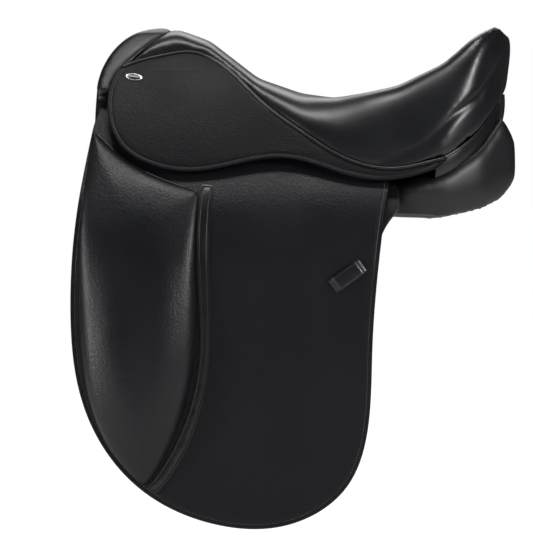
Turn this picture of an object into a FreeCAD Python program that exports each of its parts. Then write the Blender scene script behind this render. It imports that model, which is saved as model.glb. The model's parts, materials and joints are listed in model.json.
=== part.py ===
import FreeCAD, Part
import math
import os

# Dressage saddle, in millimetres.
# +X runs towards the cantle, -X towards the pommel, +Y is the off (right) side and +Z is up.
# The origin lies on the middle plane, under the deepest point of the seat, where the panels bear.
# Every side piece is made on the off side and mirrored in Y for the near (left) side.

# ---- Side surface: the outer face of the flap, straight in X -------------------------------------
flap_hang_y = 178.0        # half width over the flaps, where they hang upright
flap_slope = 34.0          # degrees from upright, where the flap lies on the tree
flap_bend_radius = 170.0   # bend from the slope to the upright part
flap_bend_low_z = -95.0    # where the upright part begins
flap_thickness = 4.5
flap_top_run = 182.0       # how far the slope runs up from the bend

# ---- Skirt surface: one large round, straight in X -----------------------------------------------
skirt_radius = 563.0
skirt_low_angle = 22.5     # slope of the skirt's surface at its lower edge
skirt_low_z = 9.0
skirt_stand_off = 7.2      # skirt's outer face from the flap's outer face, at its lower edge
skirt_thickness = 4.0

# ---- Layers behind the flap, each measured in from the flap's outer face -------------------------
billet_gap = 0.8
billet_thickness = 4.0
sweat_flap_gap = 0.7
sweat_flap_thickness = 3.5
panel_gap = 0.9

# ---- Seat and tree -------------------------------------------------------------------------------
seat_rear_x = 212.0        # rearmost point of the cantle
seat_round_x = 60.0        # where the seat's plan starts to round in
seat_half_width = 150.0
cover_thickness = 3.0
board_thickness = 10.0
board_rear_inset = 14.0
strap_thickness = 2.0      # seat webbing and head plate
fit = 0.3                  # gap between pieces that lie on each other

# ---- Stirrup bar ---------------------------------------------------------------------------------
bar_front_x = -212.0
bar_length = 66.0
bar_thickness = 4.0
bar_height = 14.0
bar_run = 121.0            # height of the bar's middle up the slope
bar_stand_off = 9.8        # bar's inner face from the flap's outer face
plate_thickness = 2.5
plate_height = 26.0
plate_length = 77.0
catch_thickness = 3.6
catch_height = 8.0
catch_length = 28.0
catch_pin_radius = 2.0
pin_clearance = 0.08

# ---- Billets -------------------------------------------------------------------------------------
billet_width = 25.0
billet_x = (-97.0, -22.0)
billet_pivot_z = -113.0
billet_end_z = -372.0
billet_hole_radius = 2.5
billet_hole_pitch = 25.4
billet_hole_count = 6
billet_hole_rise = 22.0    # lowest hole above the strap's point
web_reach_y = 56.0         # where the girth webs end under the tree

# ---- Fold of flap and skirt ----------------------------------------------------------------------
fold_front = (-306.0, 112.0)
fold_rear = (58.0, 12.0)
fold_gap = 0.6
fold_clearance = 0.5

# ---- Small pieces --------------------------------------------------------------------------------
badge_length = 21.0
badge_height = 11.0
badge_thickness = 1.6
badge_x = -257.0
badge_z = 138.0
badge_tilt = 10.0
badge_gap = 0.2
keeper_length = 46.0
keeper_width = 18.7
keeper_thickness = 3.0
keeper_gap = 5.5
keeper_foot = 6.0
keeper_x = 6.0
keeper_z = -108.0
keeper_rise = 36.0         # degrees, rising to the rear
binding_thickness = 2.0
welt_height = 4.0
welt_proud = 1.8
rivet_radius = 3.0
rivet_head_radius = 5.5
rivet_head = 1.6

# ---- Limits of the cutting prisms ----------------------------------------------------------------
near_y = 12.0
far_y = 290.0
front_x = -345.0
rear_x = 240.0
half_limit = 200.0
top_limit = 260.0
low_limit = -50.0
flap_low_z = -435.0
drill_depth = 40.0

slope = math.radians(flap_slope)
bend_y = flap_hang_y - flap_bend_radius
fold_foot = FreeCAD.Vector(0, bend_y + flap_bend_radius * math.cos(slope),
                           flap_bend_low_z + flap_bend_radius * math.sin(slope))

billet_outer = -flap_thickness - billet_gap
billet_inner = billet_outer - billet_thickness
sweat_outer = billet_inner - sweat_flap_gap
sweat_inner = sweat_outer - sweat_flap_thickness
panel_outer = sweat_inner - panel_gap

point_inner = -19.5        # inner face of the tree's points
point_outer = -flap_thickness - fit
point_tip_outer = -9.5
point_step_run = 84.0
point_tip_run = 48.0
pocket_wall = 3.2


def vec(x, y, z):
    return FreeCAD.Vector(x, y, z)


def flap_y(z, offset):
    """Y of the surface that lies offset outside the flap's outer face, at height z."""
    radius = flap_bend_radius + offset
    if z <= flap_bend_low_z:
        return bend_y + radius
    rise = z - flap_bend_low_z
    if rise <= radius * math.sin(slope):
        return bend_y + math.sqrt(radius ** 2 - rise ** 2)
    return fold_foot.y + offset / math.cos(slope) - (z - fold_foot.z) * math.tan(slope)


low_angle = math.radians(skirt_low_angle)
skirt_low_y = flap_y(skirt_low_z, skirt_stand_off)
skirt_centre_y = skirt_low_y - skirt_radius * math.cos(low_angle)
skirt_centre_z = skirt_low_z - skirt_radius * math.sin(low_angle)


def skirt_y(z, offset):
    """Y of the surface that lies offset outside the skirt's outer face, at height z."""
    return skirt_centre_y + math.sqrt((skirt_radius + offset) ** 2 - (z - skirt_centre_z) ** 2)


def on_slope(x, offset, run):
    """Point at x, offset outside the flap's outer face, and run up its slope."""
    return vec(x, fold_foot.y + offset * math.cos(slope) - run * math.sin(slope),
               fold_foot.z + offset * math.sin(slope) + run * math.cos(slope))


def slope_box(x0, x1, offset0, offset1, run0, run1):
    corners = [on_slope(x0, offset0, run0), on_slope(x0, offset1, run0),
               on_slope(x0, offset1, run1), on_slope(x0, offset0, run1)]
    return polygon(corners).extrude(vec(x1 - x0, 0, 0))


def slope_pin(x, run, radius, offset0, offset1):
    axis = on_slope(x, 1, run) - on_slope(x, 0, run)
    return Part.makeCylinder(radius, offset1 - offset0, on_slope(x, offset0, run), axis)


def polygon(corners):
    return Part.Face(Part.makePolygon(corners + corners[:1]))


def box(x0, x1, y0, y1, z0, z1):
    return Part.makeBox(x1 - x0, y1 - y0, z1 - z0, vec(x0, y0, z0))


def curve(points):
    """Smooth edge through (x, z) points in the middle plane."""
    spline = Part.BSplineCurve()
    spline.interpolate([vec(x, 0, z) for x, z in points])
    return spline.toShape()


def lines(points):
    """Straight edges through (x, z) points in the middle plane."""
    corners = [vec(x, 0, z) for x, z in points]
    return [Part.makeLine(a, b) for a, b in zip(corners, corners[1:])]


def side_prism(edges, y0, y1):
    """Outline seen from the side, carried from y0 to y1."""
    face = Part.Face(Part.Wire(edges))
    face.translate(vec(0, y0, 0))
    return face.extrude(vec(0, y1 - y0, 0))


def side_band(inner, outer):
    """Slab between two offsets from the flap's outer face, along the whole saddle."""
    def foot(offset, angle):
        radius = flap_bend_radius + offset
        return vec(front_x, bend_y + radius * math.cos(angle),
                   flap_bend_low_z + radius * math.sin(angle))

    outer_low = vec(front_x, flap_hang_y + outer, flap_low_z)
    inner_low = vec(front_x, flap_hang_y + inner, flap_low_z)
    outer_top = on_slope(front_x, outer, flap_top_run)
    inner_top = on_slope(front_x, inner, flap_top_run)
    edges = [Part.makeLine(outer_top, foot(outer, slope)),
             Part.Arc(foot(outer, slope), foot(outer, slope / 2), foot(outer, 0)).toShape(),
             Part.makeLine(foot(outer, 0), outer_low),
             Part.makeLine(outer_low, inner_low),
             Part.makeLine(inner_low, foot(inner, 0)),
             Part.Arc(foot(inner, 0), foot(inner, slope / 2), foot(inner, slope)).toShape(),
             Part.makeLine(foot(inner, slope), inner_top),
             Part.makeLine(inner_top, outer_top)]
    return Part.Face(Part.Wire(edges)).extrude(vec(rear_x - front_x, 0, 0))


def skirt_band(inner, outer):
    """Round shell between two offsets from the skirt's outer face."""
    start = vec(front_x, skirt_centre_y, skirt_centre_z)
    along = vec(1, 0, 0)
    shell = Part.makeCylinder(skirt_radius + outer, rear_x - front_x, start, along)
    return shell.cut(Part.makeCylinder(skirt_radius + inner, rear_x - front_x, start, along))


def arch_prism(outer_half, inner_half, x0, x1):
    """Inverted U seen from the front, given by the (y, z) points of its off-side half."""
    outer_left = [(-y, z) for y, z in reversed(outer_half)]
    inner_left = [(-y, z) for y, z in reversed(inner_half)]
    points = outer_half + outer_left[1:] + inner_left[:-1] + inner_half
    return polygon([vec(x0, y, z) for y, z in points]).extrude(vec(x1 - x0, 0, 0))


def slope_yz(offset, run):
    point = on_slope(0, offset, run)
    return (point.y, point.z)


def seat_plan(inset, low_z, high_z):
    """Seen from above, the seat's rounded rear, drawn in by inset."""
    half = seat_half_width - inset
    reach = seat_rear_x - seat_round_x - inset
    centre = vec(seat_round_x, 0, low_z)
    rear_tip = vec(seat_round_x + reach, 0, low_z)
    side_tip = vec(seat_round_x, half, low_z)
    if reach >= half:
        oval = Part.Ellipse(rear_tip, side_tip, centre)
    else:
        oval = Part.Ellipse(side_tip, rear_tip, centre)
    rear = Part.Face(Part.Wire([oval.toShape()])).extrude(vec(0, 0, high_z - low_z))
    return rear.fuse(box(front_x, seat_round_x, -half, half, low_z, high_z)).removeSplitter()


def both(name, shape):
    save(name + "_right", shape)
    save(name + "_left", shape.mirror(vec(0, 0, 0), vec(0, 1, 0)))


def mirrored_pair(shape):
    return Part.makeCompound([shape, shape.mirror(vec(0, 0, 0), vec(0, 1, 0))])


def save(name, shape):
    solids = shape.Solids
    assert solids, name
    for solid in solids:
        assert solid.isValid() and solid.Volume > 1, name
    if len(solids) == 1:
        solids[0].exportStep("parts/%s.step" % name)
    else:
        Part.makeCompound(solids).exportStep("parts/%s.step" % name)
    size = shape.BoundBox
    print("%-22s %2d solid(s)  x %6.1f %6.1f  y %6.1f %6.1f  z %6.1f %6.1f" % (
        name, len(solids), size.XMin, size.XMax, size.YMin, size.YMax, size.ZMin, size.ZMax))


os.makedirs("parts", exist_ok=True)

# ---- The fold: one axis on each side, just outside the skirt, about which flap and skirt lift ----
chord_front = vec(fold_front[0], skirt_y(fold_front[1], 0), fold_front[1])
chord_rear = vec(fold_rear[0], skirt_y(fold_rear[1], 0), fold_rear[1])
chord_yz = math.hypot(chord_rear.y - chord_front.y, chord_rear.z - chord_front.z)
skirt_bulge = skirt_radius - math.sqrt(skirt_radius ** 2 - (chord_yz / 2) ** 2)
fold_normal = vec(0, chord_front.z - chord_rear.z, chord_rear.y - chord_front.y).normalize()
fold_shift = fold_normal * (skirt_bulge + fold_clearance)
fold_start = chord_front + fold_shift
fold_direction = (chord_rear - chord_front).normalize()
fold_down = fold_direction.cross(fold_normal).normalize()
if fold_down.z > 0:
    fold_down = fold_down * -1


def beside_fold(down0, down1):
    """Block on one side of the fold, between two distances down from it."""
    reach = 900.0
    start = fold_start - fold_direction * reach - fold_normal * reach
    corners = [start + fold_down * down0, start + fold_down * down1,
               start + fold_down * down1 + fold_normal * (2 * reach),
               start + fold_down * down0 + fold_normal * (2 * reach)]
    return polygon(corners).extrude(fold_direction * (3 * reach))


below_fold = beside_fold(fold_gap / 2, 1200)
above_fold = beside_fold(-1200, -fold_gap / 2)

# ---- Seat line: height of the tree board's upper face along the saddle ---------------------------
board_line = [(-238, 170), (-200, 168), (-166, 150), (-103, 106), (-48, 84), (15, 78),
              (71, 84), (130, 95), (168, 115), (190, 141), (212, 176)]
board_edge = curve(board_line)


def board_layer(low, high, y0, y1):
    """Strip that follows the board, between two heights from its upper face."""
    bottom = board_edge.copy()
    bottom.translate(vec(0, 0, low))
    top = board_edge.copy()
    top.translate(vec(0, 0, high))
    x0, x1 = board_line[0][0], board_line[-1][0]
    z0, z1 = board_line[0][1], board_line[-1][1]
    rear_end = lines([(x1, z1 + low), (x1, z1 + high)])
    front_end = lines([(x0, z0 + high), (x0, z0 + low)])
    edges = [bottom] + rear_end + [top] + front_end
    return side_prism(Part.__sortEdges__(edges), y0, y1)


def inside_sides(offset, x0, x1):
    """Everything between the two slopes, offset from the flap's outer face."""
    return arch_prism([(flap_y(0, offset), 0), (flap_y(185, offset), 185), (0, 215)],
                      [(0, 0), (1, 0)], x0, x1)


# ---- Tree: laminated board with its head arch and points -----------------------------------------
# Behind the billets' webs the board's half width is a share of the seat's.
board_plan = [(-238, 44), (-150, 58), (-60, 86), (0, 92), (62, 91), (100, 0.72 * seat_half_width),
              (150, 92 / 150 * seat_half_width), (188, 46 / 150 * seat_half_width)]
board_hole = [(-150, 16), (-120, 34), (70, 36), (118, 26),
              (118, -26), (70, -36), (-120, -34), (-150, -16)]
board_step_x = 62.0        # the board widens behind the billets' webs


def plan_face(half_outline, rear_tip):
    right = [vec(x, y, 0) for x, y in half_outline] + [vec(rear_tip, 0, 0)]
    left = [vec(x, -y, 0) for x, y in reversed(half_outline)]
    spline = Part.BSplineCurve()
    spline.interpolate(right + left)
    return Part.Face(Part.Wire([spline.toShape(), Part.makeLine(left[-1], right[0])]))


board = plan_face(board_plan, seat_rear_x - board_rear_inset).extrude(vec(0, 0, top_limit))
hole = polygon([vec(x, y, 0) for x, y in board_hole])
board = board.cut(hole.extrude(vec(0, 0, top_limit)))
board = board.common(board_layer(-board_thickness, 0, -half_limit, half_limit))
front_trim = inside_sides(billet_inner - fit, front_x, board_step_x)
rear_trim = box(board_step_x, rear_x, -half_limit, half_limit, 0, top_limit)
board = board.common(front_trim.fuse(rear_trim))

arch_outer = [slope_yz(point_outer, point_step_run), slope_yz(point_outer, flap_top_run),
              (28, 163), (0, 170)]
arch_inner = [(0, 152), (18, 149),
              slope_yz(point_inner, flap_top_run), slope_yz(point_inner, point_step_run)]
arch_front_x = -238.0
arch_rear_x = -200.0
tip_rear_x = -195.0
side_rear_x = -138.0
arch = arch_prism(arch_outer, arch_inner, arch_front_x, arch_rear_x)
tree_side = slope_box(arch_rear_x - 1, side_rear_x, point_inner, point_outer,
                      point_step_run, flap_top_run)
tree_tip = slope_box(arch_front_x, tip_rear_x, point_inner, point_tip_outer,
                     point_tip_run, point_step_run + 1)
sides = mirrored_pair(tree_side.fuse(tree_tip))
tree = board.fuse([arch] + sides.Solids).common(board_layer(-half_limit, 0, -half_limit, half_limit))

# Screws hold the flap's head to the tree in front, rivets hold the stirrup bar.
rivet_rise = 9.0           # each rivet from the bar's middle
screw_places = [(-231, 104), (-231, 138)]
rivet_places = [(-197, bar_run - rivet_rise), (-197, bar_run + rivet_rise),
                (-143, bar_run - rivet_rise), (-143, bar_run + rivet_rise)]
plate_outer = fit + plate_thickness
screw_length = 11.0
fasteners = []
holes = []
for x, run in screw_places:
    fasteners.append(slope_pin(x, run, rivet_radius, -flap_thickness - screw_length, fit).fuse(
        slope_pin(x, run, rivet_head_radius, fit, fit + rivet_head)))
    holes.append(slope_pin(x, run, rivet_radius + pin_clearance, -drill_depth, drill_depth))
screws = Part.makeCompound([s for f in fasteners for s in f.Solids])
rivets = []
for x, run in rivet_places:
    head_base = plate_outer + fit / 2
    tail_end = point_inner - fit - rivet_head
    rivet = slope_pin(x, run, rivet_radius, tail_end, head_base)
    rivets.append(rivet.fuse([
        slope_pin(x, run, rivet_radius + 1, head_base, head_base + rivet_head),
        slope_pin(x, run, rivet_head_radius, tail_end, tail_end + rivet_head)]))
    holes.append(slope_pin(x, run, rivet_radius + pin_clearance, -drill_depth, drill_depth))
fastener_holes = Part.makeCompound(holes)
save("tree", tree.cut(mirrored_pair(fastener_holes)))
save("flap_screws", mirrored_pair(screws))
save("bar_rivets", mirrored_pair(Part.makeCompound([s for r in rivets for s in r.Solids])))

# ---- Steel on the tree ---------------------------------------------------------------------------
gullet_steel = 3.0
gullet_outer = point_inner - fit
gullet_inner = gullet_outer - gullet_steel
gullet_foot_run = 97.0
gullet_front_x = -233.0
gullet_rear_x = -212.0
gullet_outside = [slope_yz(gullet_outer, gullet_foot_run), slope_yz(gullet_outer, flap_top_run - 1),
                  (17.6, 148.6), (0, 151.6)]
gullet_inside = [(0, 148.6), (16.4, 145.8),
                 slope_yz(gullet_inner, flap_top_run - 2), slope_yz(gullet_inner, gullet_foot_run)]
gullet_plate = arch_prism(gullet_outside, gullet_inside, gullet_front_x, gullet_rear_x)
save("gullet_plate", gullet_plate.cut(mirrored_pair(fastener_holes)))

head_half = 24.0
head_plate = board_layer(fit, fit + strap_thickness, -head_half, head_half)
head_plate = head_plate.common(box(-232, -190, -head_half, head_half, 0, top_limit))
save("head_plate", head_plate)

spring_y = (40.0, 53.0)
spring = board_layer(-board_thickness - fit - strap_thickness, -board_thickness - fit, *spring_y)
spring_x = (-120.0, 140.0)
save("tree_springs", mirrored_pair(spring.common(box(*spring_x, *spring_y, 0, top_limit))))

cantle_steel = 3.0
cantle_gap = 0.6
cantle_front_x = 176.0
cantle_inner = board_rear_inset - cantle_gap
cantle_plate = seat_plan(cantle_inner - cantle_steel, 0, top_limit).cut(
    seat_plan(cantle_inner, 0, top_limit))
cantle_plate = cantle_plate.common(board_layer(-board_thickness - 8, -1, -half_limit, half_limit))
save("cantle_plate", cantle_plate.common(
    box(cantle_front_x, rear_x, -half_limit, half_limit, 0, top_limit)))

# ---- Seat webbing: a long strap with one cross strap, drawn over the board -----------------------
web_layer = board_layer(fit, fit + strap_thickness, -half_limit, half_limit)
webbing = box(-182, 182, -31, 31, 0, top_limit).fuse(box(-86, -34, -66, 66, 0, top_limit))
save("seat_webbing", web_layer.common(webbing))

# ---- Seat: crowned at the pommel, dished towards the cantle --------------------------------------
# Each station holds its place and the heights of its middle, its rim and its lower edge.
seat_stations = [(-276, 190, 177, 152), (-204, 202, 194, 172), (-164, 187.5, 181, 166),
                 (-103, 140, 134, 113), (-48, 121, 110, 70), (-8, 115.5, 108, 44),
                 (30, 113, 116, 29), (71, 112, 126, 26), (130, 121, 155, 39),
                 (168, 146, 191, 68), (190, 172, 204, 100), (seat_rear_x, 196, 204, 124)]
seat_front_line = [(-217, 199), (-272, 153)]


def seat_loft(inset, drop):
    """Seat body drawn in by inset, with upright sides that run down by drop."""
    wires = []
    for x, middle, rim, edge in seat_stations:
        half = skirt_y(edge, 0) - 1.15 * inset
        low = edge - 0.7 * inset
        high_rim = rim - inset
        high_middle = middle - inset
        right = [(0.0, high_middle), (0.35, high_middle + 0.35 * (high_rim - high_middle)),
                 (0.7, high_rim), (0.9, low + 0.62 * (high_rim - low)), (1.0, low)]
        points = [vec(x, -u * half, z) for u, z in reversed(right)]
        points += [vec(x, u * half, z) for u, z in right[1:]]
        top = Part.BSplineCurve()
        top.interpolate(points)
        corners = [points[-1], vec(x, half, low - drop), vec(x, -half, low - drop), points[0]]
        rest = [Part.makeLine(a, b) for a, b in zip(corners, corners[1:])]
        wires.append(Part.Wire([top.toShape()] + rest))
    return Part.makeLoft(wires, True, True)


def behind_head(gap):
    """Everything on the seat's side of the slanted line where the seat meets the head roll."""
    (x1, z1), (x0, z0) = seat_front_line
    steep = (z1 - z0) / (x1 - x0)
    reach = 80.0
    front = x0 - reach + gap
    return side_prism(lines([(front, z0 - reach * steep), (x1 + reach + gap, z1 + reach * steep),
                             (2 * rear_x, 320), (2 * rear_x, -100), (front, -100),
                             (front, z0 - reach * steep)]), -far_y, far_y)


seat_outer = seat_loft(0, 1).common(seat_plan(0, low_limit, top_limit)).common(behind_head(0))
seat_hollow = seat_loft(cover_thickness, 12).common(seat_plan(cover_thickness, low_limit, top_limit))
foam_inset = cover_thickness + fit
seat_foam = seat_loft(foam_inset, 70).common(seat_plan(foam_inset, low_limit, top_limit))
seat_foam = seat_foam.common(behind_head(2))
seat_foam = seat_foam.common(board_layer(2 * fit + strap_thickness, 160, -half_limit, half_limit))

# ---- Skirt: fixed band along the seat, lobe that lifts about the fold ----------------------------
welt_line = [(-272, 153), (-255, 160), (-219, 169), (-189, 173), (-164, 166), (-103, 113),
             (-48, 70), (-8, 44), (30, 29), (71, 26), (101, 32), (130, 39)]
skirt_edge_line = [(130, 39), (126, 33), (91, 15), (50, 9), (3, 16), (-38, 30), (-78, 37),
                   (-129, 29), (-184, 20), (-239, 30), (-270, 50), (-288, 91), (-288, 120),
                   (-272, 153)]
skirt_outline = [curve(welt_line), curve(skirt_edge_line)]
whole_skirt = skirt_band(-skirt_thickness, 0).common(side_prism(skirt_outline, near_y, far_y))
skirt_room = skirt_band(-skirt_thickness - fit, fit).common(side_prism(skirt_outline, near_y, far_y))
skirt_room_above = skirt_room.copy()
skirt_room_above.translate(vec(0, 0, fit))
skirt_room = mirrored_pair(skirt_room.fuse(skirt_room_above))
save("seat_foam", seat_foam.cut(skirt_room))
skirt_fixed = whole_skirt.common(above_fold)
both("skirt_band", skirt_fixed)
both("skirt", whole_skirt.common(below_fold))

welt_low = [(x, z - welt_height) for x, z in welt_line]
welt_outline = [curve(welt_line)] + lines([welt_line[-1], welt_low[-1]]) + [curve(welt_low)] \
    + lines([welt_low[0], welt_line[0]])
welt_prism = side_prism(Part.__sortEdges__(welt_outline), near_y, far_y)
welt = skirt_band(0.1, welt_proud).common(welt_prism)
both("seat_welt", welt)

welt_room = mirrored_pair(skirt_band(0, welt_proud + fit).common(welt_prism))
seat_cover = seat_outer.cut(seat_hollow).cut(skirt_room).cut(welt_room)
seat_cover = max(seat_cover.Solids, key=lambda solid: solid.Volume)
save("seat_cover", seat_cover)

badge_angle = math.asin((badge_z - skirt_centre_z) / skirt_radius)
badge_normal = vec(0, math.cos(badge_angle), math.sin(badge_angle))
badge_up = vec(0, -math.sin(badge_angle), math.cos(badge_angle))
badge_centre = vec(badge_x, skirt_y(badge_z, 0), badge_z) + badge_normal * badge_gap
tilt = math.radians(badge_tilt)
badge_long = vec(math.cos(tilt), 0, 0) - badge_up * math.sin(tilt)
badge_short = vec(math.sin(tilt), 0, 0) + badge_up * math.cos(tilt)
oval = Part.Ellipse(badge_centre + badge_long * (badge_length / 2),
                    badge_centre + badge_short * (badge_height / 2), badge_centre)
both("badge", Part.Face(Part.Wire([oval.toShape()])).extrude(badge_normal * badge_thickness))

# ---- Flap: fixed head on the tree, and the large flap that lifts ---------------------------------
flap_edge = curve([(58, 6), (44, -93), (36, -200), (32, -285), (5, -365), (-67, -411),
                   (-151, -411), (-249, -365), (-312, -275), (-331, -154), (-320, -3),
                   (-306, 79)])
flap_top = lines([(-306, 79), (-295, 108), (-286, 118), (-235, 140), (-190, 138), (-140, 118),
                  (-90, 86), (-40, 66), (20, 40), (58, 18), (58, 6)])
whole_flap = side_band(-flap_thickness, 0).common(side_prism([flap_edge] + flap_top, near_y, far_y))
flap_head = whole_flap.common(above_fold).cut(fastener_holes).cut(seat_cover)
both("flap_head", max(flap_head.Solids, key=lambda solid: solid.Volume))
both("flap", whole_flap.common(below_fold))

# ---- Thigh block: long pad on the flap, thickest at its middle -----------------------------------
block_outline = [curve([(-307, 72), (-294, 59), (-275, 41), (-239, 18), (-209, 5), (-175, -5)]),
                 curve([(-175, -5), (-180, -87), (-179, -200), (-198, -288), (-240, -364)]),
                 curve([(-240, -364), (-279, -325), (-307, -265), (-319, -186), (-317, -30), (-307, 72)])]
block_thickness = 30.0
block_end_thickness = 12.0
block_top_z = 90.0
block_low_z = -380.0
block_mid_z = -130.0
block_top = vec(front_x, flap_y(block_top_z, block_end_thickness), block_top_z)
block_mid = vec(front_x, flap_hang_y + block_thickness, block_mid_z)
block_low = vec(front_x, flap_hang_y + block_end_thickness, block_low_z)
low_corner = vec(front_x, 0, block_low_z)
top_corner = vec(front_x, 0, block_top_z)
block_profile = [Part.Arc(block_top, block_mid, block_low).toShape(),
                 Part.makeLine(block_low, low_corner), Part.makeLine(low_corner, top_corner),
                 Part.makeLine(top_corner, block_top)]
block = Part.Face(Part.Wire(block_profile)).extrude(vec(rear_x - front_x, 0, 0))
block = block.common(side_prism(block_outline, near_y, far_y))
block = block.common(side_band(fit / 2, 2 * block_thickness))
both("thigh_block", block)

binding_outline = [curve([(-168, 4), (-173, -101), (-171, -214), (-200, -314), (-236, -367)])] \
    + lines([(-236, -367), (-226, -372)]) \
    + [curve([(-226, -372), (-190, -318), (-163, -214), (-162, -101), (-157, 2)])] \
    + lines([(-157, 2), (-168, 4)])
both("block_binding", side_band(fit / 2, fit / 2 + binding_thickness).common(
    side_prism(binding_outline, near_y, far_y)))

# ---- Keeper for the stirrup leather's end: a bridge of leather on the flap -----------------------
half_keeper = keeper_length / 2
keeper_y = flap_hang_y + 0.1
keeper_top_y = keeper_y + keeper_gap + keeper_thickness
keeper = box(-half_keeper, half_keeper, keeper_y, keeper_top_y, -keeper_width / 2, keeper_width / 2)
keeper = keeper.cut(box(-half_keeper + keeper_foot, half_keeper - keeper_foot, keeper_y - 1,
                        keeper_y + keeper_gap, -keeper_width, keeper_width))
keeper.rotate(vec(0, 0, 0), vec(0, 1, 0), -keeper_rise)
keeper.translate(vec(keeper_x, 0, keeper_z))
both("keeper", keeper)

# ---- Girth webs under the tree, and the billets that hang from them ------------------------------
web_end_z = billet_pivot_z + billet_width / 2 + fit
billet_band = side_band(billet_inner, billet_outer)
webs = []
for x in billet_x:
    x0 = x - billet_width / 2
    x1 = x + billet_width / 2
    tail = billet_band.common(box(x0, x1, near_y, far_y, web_end_z, top_limit)).common(
        board_layer(-far_y, -2, -half_limit, half_limit))
    leg_top = -board_thickness - fit
    leg = board_layer(leg_top - billet_thickness, leg_top, web_reach_y, half_limit)
    leg = leg.common(box(x0, x1, web_reach_y, half_limit, 0, half_limit))
    leg = leg.common(inside_sides(billet_outer, front_x, rear_x))
    webs.append(tail.fuse(leg).removeSplitter())
both("girth_webs", Part.makeCompound([s for w in webs for s in w.Solids]))

billet_y = flap_hang_y + billet_inner
for name, x in zip(("front", "rear"), billet_x):
    half = billet_width / 2
    strap_edges = [Part.Arc(vec(x - half, billet_y, billet_pivot_z),
                            vec(x, billet_y, billet_pivot_z + half),
                            vec(x + half, billet_y, billet_pivot_z)).toShape()]
    corners = [vec(x + half, billet_y, billet_pivot_z), vec(x + half, billet_y, billet_end_z + half),
               vec(x, billet_y, billet_end_z), vec(x - half, billet_y, billet_end_z + half),
               vec(x - half, billet_y, billet_pivot_z)]
    strap_edges += [Part.makeLine(a, b) for a, b in zip(corners, corners[1:])]
    strap = Part.Face(Part.Wire(strap_edges)).extrude(vec(0, billet_thickness, 0))
    for index in range(billet_hole_count):
        z = billet_end_z + billet_hole_rise + index * billet_hole_pitch
        strap = strap.cut(Part.makeCylinder(billet_hole_radius, 20, vec(x, billet_y - 8, z), vec(0, 1, 0)))
    both("billet_" + name, strap)

# ---- Sweat flap, between the billets and the horse -----------------------------------------------
sweat_edge = curve([(70, -26), (46, -62), (35, -120), (27, -200), (22, -280), (-4, -357),
                    (-70, -402), (-150, -402), (-243, -358), (-303, -272), (-322, -154),
                    (-312, -3), (-300, 18)])
sweat_top = lines([(-300, 18), (56, 18), (70, -2), (70, -26)])
both("sweat_flap", side_band(sweat_inner, sweat_outer).common(
    side_prism([sweat_edge] + sweat_top, near_y, far_y)))

# ---- Point pockets: leather cups round the tips of the tree's points -----------------------------
pocket_top_run = point_step_run - 12
pocket_outer = -flap_thickness - fit - 0.4
pocket_inner = point_inner - fit - pocket_wall
pocket_reach = fit + pocket_wall
pocket_block = slope_box(arch_front_x - pocket_reach, tip_rear_x + pocket_reach, pocket_inner,
                         pocket_outer, point_tip_run - pocket_reach, pocket_top_run)
pocket_space = slope_box(arch_front_x - fit, tip_rear_x + fit, point_inner - fit, point_tip_outer + fit,
                         point_tip_run - fit, pocket_top_run + 10)
both("point_pocket", pocket_block.cut(pocket_space))

# ---- Panels: one long cushion on each side of the gullet -----------------------------------------
# Each station holds x and six (y, z) corners: inner low, outer low, outer, outer top, ledge, inner top.
slope_corner = flap_y(0, panel_outer)


def under_flap(x, inner_low, outer_low, top_z, ledge, inner_top):
    top_y = flap_y(top_z, panel_outer)
    return (x, [inner_low, outer_low, (slope_corner, 0), (top_y, top_z), ledge, inner_top])


panel_front_x = -289.6
panel_stations = [
    under_flap(panel_front_x, (60, -6), (104, -26), 40, (84, 52), (62, 58)),
    under_flap(-200, (48, -2), (116, -33), 46, (84, 62), (50, 76)),
    under_flap(-103, (42, 5), (124, -35), 46, (86, 62), (44, 86)),
    under_flap(-20, (38, 10), (127, -35), 40, (90, 52), (42, 62)),
    (60, [(36, 12), (126, -34), (130, -4), (128, 2), (114, 2), (42, 64)]),
    (88, [(36, 12), (126, -36), (141, -10), (142, 5), (124, 5), (42, 68)]),
    (130, [(37, 12), (118, -37), (129, -12), (127, 22), (110, 22), (42, 78)]),
    (172, [(38, 10), (92, -28), (106, 0), (103, 50), (86, 50), (44, 96)]),
    (200, [(40, 4), (64, -15), (76, 15), (72, 88), (60, 88), (46, 90)]),
    (217, [(44, 14), (54, 8), (60, 24), (56, 60), (52, 60), (46, 60)])]
panel_wires = []
for x, section in panel_stations:
    corners = [vec(x, y, z) for y, z in section]
    panel_wires.append(Part.makePolygon(corners + corners[:1]))
panel = Part.makeLoft(panel_wires, True, True)
recess = 0.4           # room round the pockets and the tree
tip_room = 4.0 + recess
panel = panel.cut(slope_box(arch_front_x - tip_room, tip_rear_x + tip_room, pocket_inner - recess,
                            drill_depth, point_tip_run - tip_room, top_limit))
panel = panel.cut(slope_box(arch_rear_x, side_rear_x + recess,
                            point_inner - fit - rivet_head - recess, drill_depth,
                            point_step_run - recess, top_limit))
both("panel", panel)

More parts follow.
